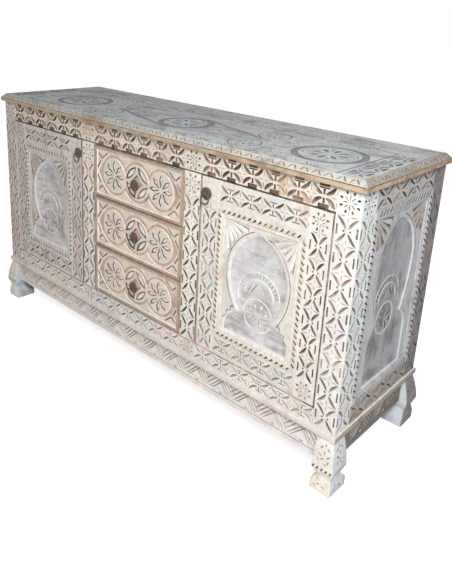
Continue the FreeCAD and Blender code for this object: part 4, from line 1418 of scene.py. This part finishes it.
def sprigs(low_v, high_v):
    """Rows of light paired chips over the free ground of the top, clear of its circles and long points."""
    middles_u, middle_v = MEDALLIONS
    circles = [(u, middle_v, MEDALLION_CLEAR) for u in middles_u]
    circles += [
        (middles_u[1] + out, middle_v + up, ROUNDEL_CLEAR)
        for out in (-ROUNDEL_OUT, ROUNDEL_OUT) for up in (-ROUNDEL_UP, ROUNDEL_UP)
    ]
    rows = []
    for number, v in enumerate(range(int(low_v), int(high_v), SPRIG_GAP)):
        if abs(v - LUNETTE_HIGH_V) < 22:
            continue
        odd = number % 2
        marks = []
        for u in range(-SPRIG_END_U + SPRIG_GAP // 2 * odd, SPRIG_END_U + 1, SPRIG_GAP):
            near_points = abs(u - middles_u[1]) < POINTS_REACH and abs(v - middle_v) < POINTS_HALF_WIDTH
            if near_points or any(math.dist((u, v), circle[:2]) < circle[2] for circle in circles):
                continue
            lean = SPRIG_LEAN - 2 * SPRIG_LEAN * odd
            marks += [mark("leaf", u + side * 6, v, 10, 2.6, side * lean, 1.8) for side in (1, -1)]
        rows.append(joined(marks))
    return rows


def top_layouts(near_v, end_u):
    """Flowers in the circles, long points, half rounds and a band of stars at each end."""
    layouts = []
    middles_u, middle_v = MEDALLIONS
    for u, radius in zip(middles_u, MEDALLION_RADII):
        layouts.append(flower(u, middle_v, radius, 8))
    for out in (-ROUNDEL_OUT, ROUNDEL_OUT):
        for up in (-ROUNDEL_UP, ROUNDEL_UP):
            layouts.append(flower(middles_u[1] + out, middle_v + up, ROUNDEL_RADIUS, 6))
        points_u = middles_u[1] + out * POINT_SHARE
        points = [
            mark("leaf", points_u + side * 30, middle_v + level * 14, 34, 3.4, side * level * -20, 3)
            for side in (1, -1) for level in (1, -1)
        ]
        layouts.append(joined(points))
    for v in (near_v + LUNETTE_LOW_V, LUNETTE_HIGH_V):
        layouts.append(lunettes(-LUNETTE_END_U, LUNETTE_END_U, v))
    for side in (1, -1):
        band = (near_v + 10, END_BAND_HIGH_V, side * (end_u - END_BAND_INSET), END_BAND_WIDTH, END_BAND_PITCH)
        layouts += star_band(*band, upright=True)
    return layouts


def carve_edge(piece, low, high):
    """Teeth on the sloping edge, and a dark line below it, along the front and both ends."""
    slant = Matrix.Translation((0, 0, (high.z - SLOPE_DOWN) * MM)) @ Matrix.Rotation(math.radians(45), 4, "X")
    upright = Matrix.Rotation(math.radians(90), 4, "X")
    depth = high.y - low.y
    for turn, reach, length in ((0, -low.y, 2 * high.x), (90, high.x, depth), (-90, high.x, depth)):
        outwards = Matrix.Rotation(math.radians(turn), 4, "Z") @ Matrix.Translation((0, -reach * MM, 0))
        thick, cut_colour = (3.4, "brown_cut") if turn else (2.6, "slope_cut")
        teeth = joined([mark("leaf", side * 8, 10.5, 10.5, thick, side * -46, 3) for side in (1, -1)])
        marks = run_of(teeth, END_MARGIN - length / 2, length / 2 - END_MARGIN, TOOTH_PITCH)
        carved(piece, outwards @ slant, cut_colour, marks)
        line_z = high.z - LIP_LINE_DOWN
        lip_line = groove([(1 - length / 2, line_z), (length / 2 - 1, line_z)], 2.6)
        carved(piece, outwards @ upright, "brown_cut", lip_line)
    return piece


def top_board():
    piece = node_copy("top_board_carved", "top_board")

    def level_of(face):
        depth = (TOP_Z - face.center.z) / MM
        if depth < 0.1:
            return 0
        if depth < TOP_CARVING_DEPTH + 0.1:
            return 3
        return 1 if abs(face.normal.z) < 0.2 else 4 if abs(face.normal.x) > 0.4 else 2

    finishes = [FINISH[name] for name in ("top", "lip", "bevel", "top_ground", "end_bevel")]
    finished_by(piece, level_of, *finishes)
    low, high = in_mm(top_low), in_mm(top_high)
    near_v, end_u = low.y + BEVEL_RUN, high.x - BEVEL_RUN
    carved(piece, ON_TOP, "top_cut", *top_layouts(near_v, end_u), floor="top_faint")
    carved(piece, ON_TOP, "top_faint", *sprigs(low.y + SPRIG_LOW_V, SPRIG_HIGH_V))
    dash = mark("bar", 0, high.y - DASH_INSET, 14, 1.6, 0, 2)
    carved(piece, ON_TOP, "dark_cut", run_of(dash, END_MARGIN - end_u, end_u - END_MARGIN, DASH_PITCH))
    rim_u, rim_v, back_v = end_u - RIM_LINE_INSET, near_v + RIM_LINE_INSET, high.y - BACK_LINE_INSET
    rim = [(-rim_u, back_v), (-rim_u, rim_v), (rim_u, rim_v), (rim_u, back_v)]
    carved(piece, ON_TOP, "brown_cut", groove(rim, 3.0))
    carve_edge(piece, low, high)
    return dress(piece, "case", "top_board", slot="top_wash")


# Ironwork

def pulls():
    owners = [("right_door", "right_door"), ("left_door", "left_door")]
    owners += [(f"drawer_{number}", f"drawer_{number}") for number in (1, 2, 3)]
    for owner, body in owners:
        for part, rider in (("pull_plate", body), ("pull_ring", body + "_ring")):
            node = f"{owner}_{part}"
            piece = finished(node_copy(node + "_forged", node), IRON)
            smooth(soften(piece, 0.5 * MM, 2), 45)
            dress(piece, rider, node, slot="pull_iron" if part == "pull_plate" else "ring_iron")


def plain_nodes():
    """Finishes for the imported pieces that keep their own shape."""
    grains = {"inside_y": ("box", "runner", "cleat"), "inside_z": ("partition",)}
    for name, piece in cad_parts.items():
        if any(word in name for word in ("bushes", "pivots")):
            material = BRASS
        else:
            grain = next((g for g, words in grains.items() if any(word in name for word in words)), "inside")
            material = FINISH[grain]
        for place_for in piece.material_slots:
            place_for.material = material


plain_nodes()
front_rail("front_top_rail", rail_low, rail_high, "rail", RAIL_CUT_COLOURS, "rail")
front_rail("front_bottom_rail", base_rail_low, base_rail_high, "base_rail", LIGHT_CUT_COLOURS, "door")
inner_stile("inner_stile_right")
inner_stile("inner_stile_left")
both_sides(front_post, "post_front_{}")
both_sides(back_post, "post_back_{}")
side_rails()
side_panels()
side_beading()
door()
for drawer_number in (1, 2, 3):
    drawer_front(drawer_number)
ledge()
aprons()
for foot_node in ("foot_front_right", "foot_front_left", "foot_back_right", "foot_back_left"):
    foot(foot_node)
top_board()
pulls()
for unit_chip in CHIPS.values():
    bpy.data.objects.remove(unit_chip)


# Stage, light and camera

FLOOR_GLOW = 0.77
WORLD_LIGHT = 0.24


def stage():
    bpy.ops.mesh.primitive_plane_add(size=40, location=(0, 0, 0))
    floor = settle(bpy.context.object)
    floor.name = "floor"
    material = bpy.data.materials.new("pale_floor")
    material.use_nodes = True
    shader = material.node_tree.nodes["Principled BSDF"]
    shader.inputs["Base Color"].default_value = (0.9, 0.9, 0.9, 1)
    shader.inputs["Roughness"].default_value = 0.9
    shader.inputs["Emission Color"].default_value = (1, 1, 1, 1)
    w = Wiring(material.node_tree)
    seen = w.node("ShaderNodeLightPath").outputs["Is Camera Ray"]
    w.link(w.math("MULTIPLY", seen, FLOOR_GLOW), shader.inputs["Emission Strength"])
    floor.data.materials.append(material)
    world = bpy.data.worlds.new("studio")
    bpy.context.scene.world = world
    world.use_nodes = True
    tree = world.node_tree
    w = Wiring(tree)
    background = tree.nodes["Background"]
    path = w.node("ShaderNodeLightPath")
    seen = w.math("MAXIMUM", path.outputs["Is Camera Ray"], path.outputs["Is Glossy Ray"])
    strength = w.math("ADD", w.math("MULTIPLY", seen, 1 - WORLD_LIGHT), WORLD_LIGHT)
    background.inputs["Color"].default_value = (1, 1, 1, 1)
    w.link(strength, background.inputs["Strength"])


def area_light(name, place_at, aim, size, power):
    lamp = bpy.data.lights.new(name, "AREA")
    lamp.shape = "SQUARE"
    lamp.size = size
    lamp.energy = power
    holder = bpy.data.objects.new(name, lamp)
    bpy.context.collection.objects.link(holder)
    holder.location = place_at
    holder.rotation_euler = (Vector(aim) - Vector(place_at)).to_track_quat("-Z", "Y").to_euler()


# Yaw, pitch and roll in radians, place in metres, focal length and sensor width in mm
CAMERA_TURNS = (-0.7351, 0.2896, 0.0482)
CAMERA_PLACE = (1.4626, -1.4999, 1.2651)
CAMERA_SHIFT = (0.0302, -0.1748)
LENS, SENSOR = 37.29, 36


def camera():
    """The photograph's viewpoint, fitted to straight edges of the object."""
    yaw, pitch, roll = CAMERA_TURNS
    forward = Vector((math.sin(yaw) * math.cos(pitch), math.cos(yaw) * math.cos(pitch), -math.sin(pitch)))
    level = Vector((math.cos(yaw), -math.sin(yaw), 0))
    upright = level.cross(forward)
    right = level * math.cos(roll) + upright * math.sin(roll)
    up = upright * math.cos(roll) - level * math.sin(roll)
    data = bpy.data.cameras.new("photo_view")
    data.lens, data.sensor_width = LENS, SENSOR
    data.shift_x, data.shift_y = CAMERA_SHIFT
    holder = bpy.data.objects.new("photo_view", data)
    bpy.context.collection.objects.link(holder)
    turned = Matrix((right, up, -forward)).transposed().to_4x4()
    holder.matrix_world = Matrix.Translation(CAMERA_PLACE) @ turned
    bpy.context.scene.camera = holder


stage()
area_light("key", (1.65, -1.45, 2.0), (0.45, 0, 0.45), 0.8, 56)
area_light("fill", (-1.2, -2.8, 1.6), (-0.3, 0, 0.4), 2.5, 5)
camera()
bpy.context.scene.view_settings.view_transform = "Standard"
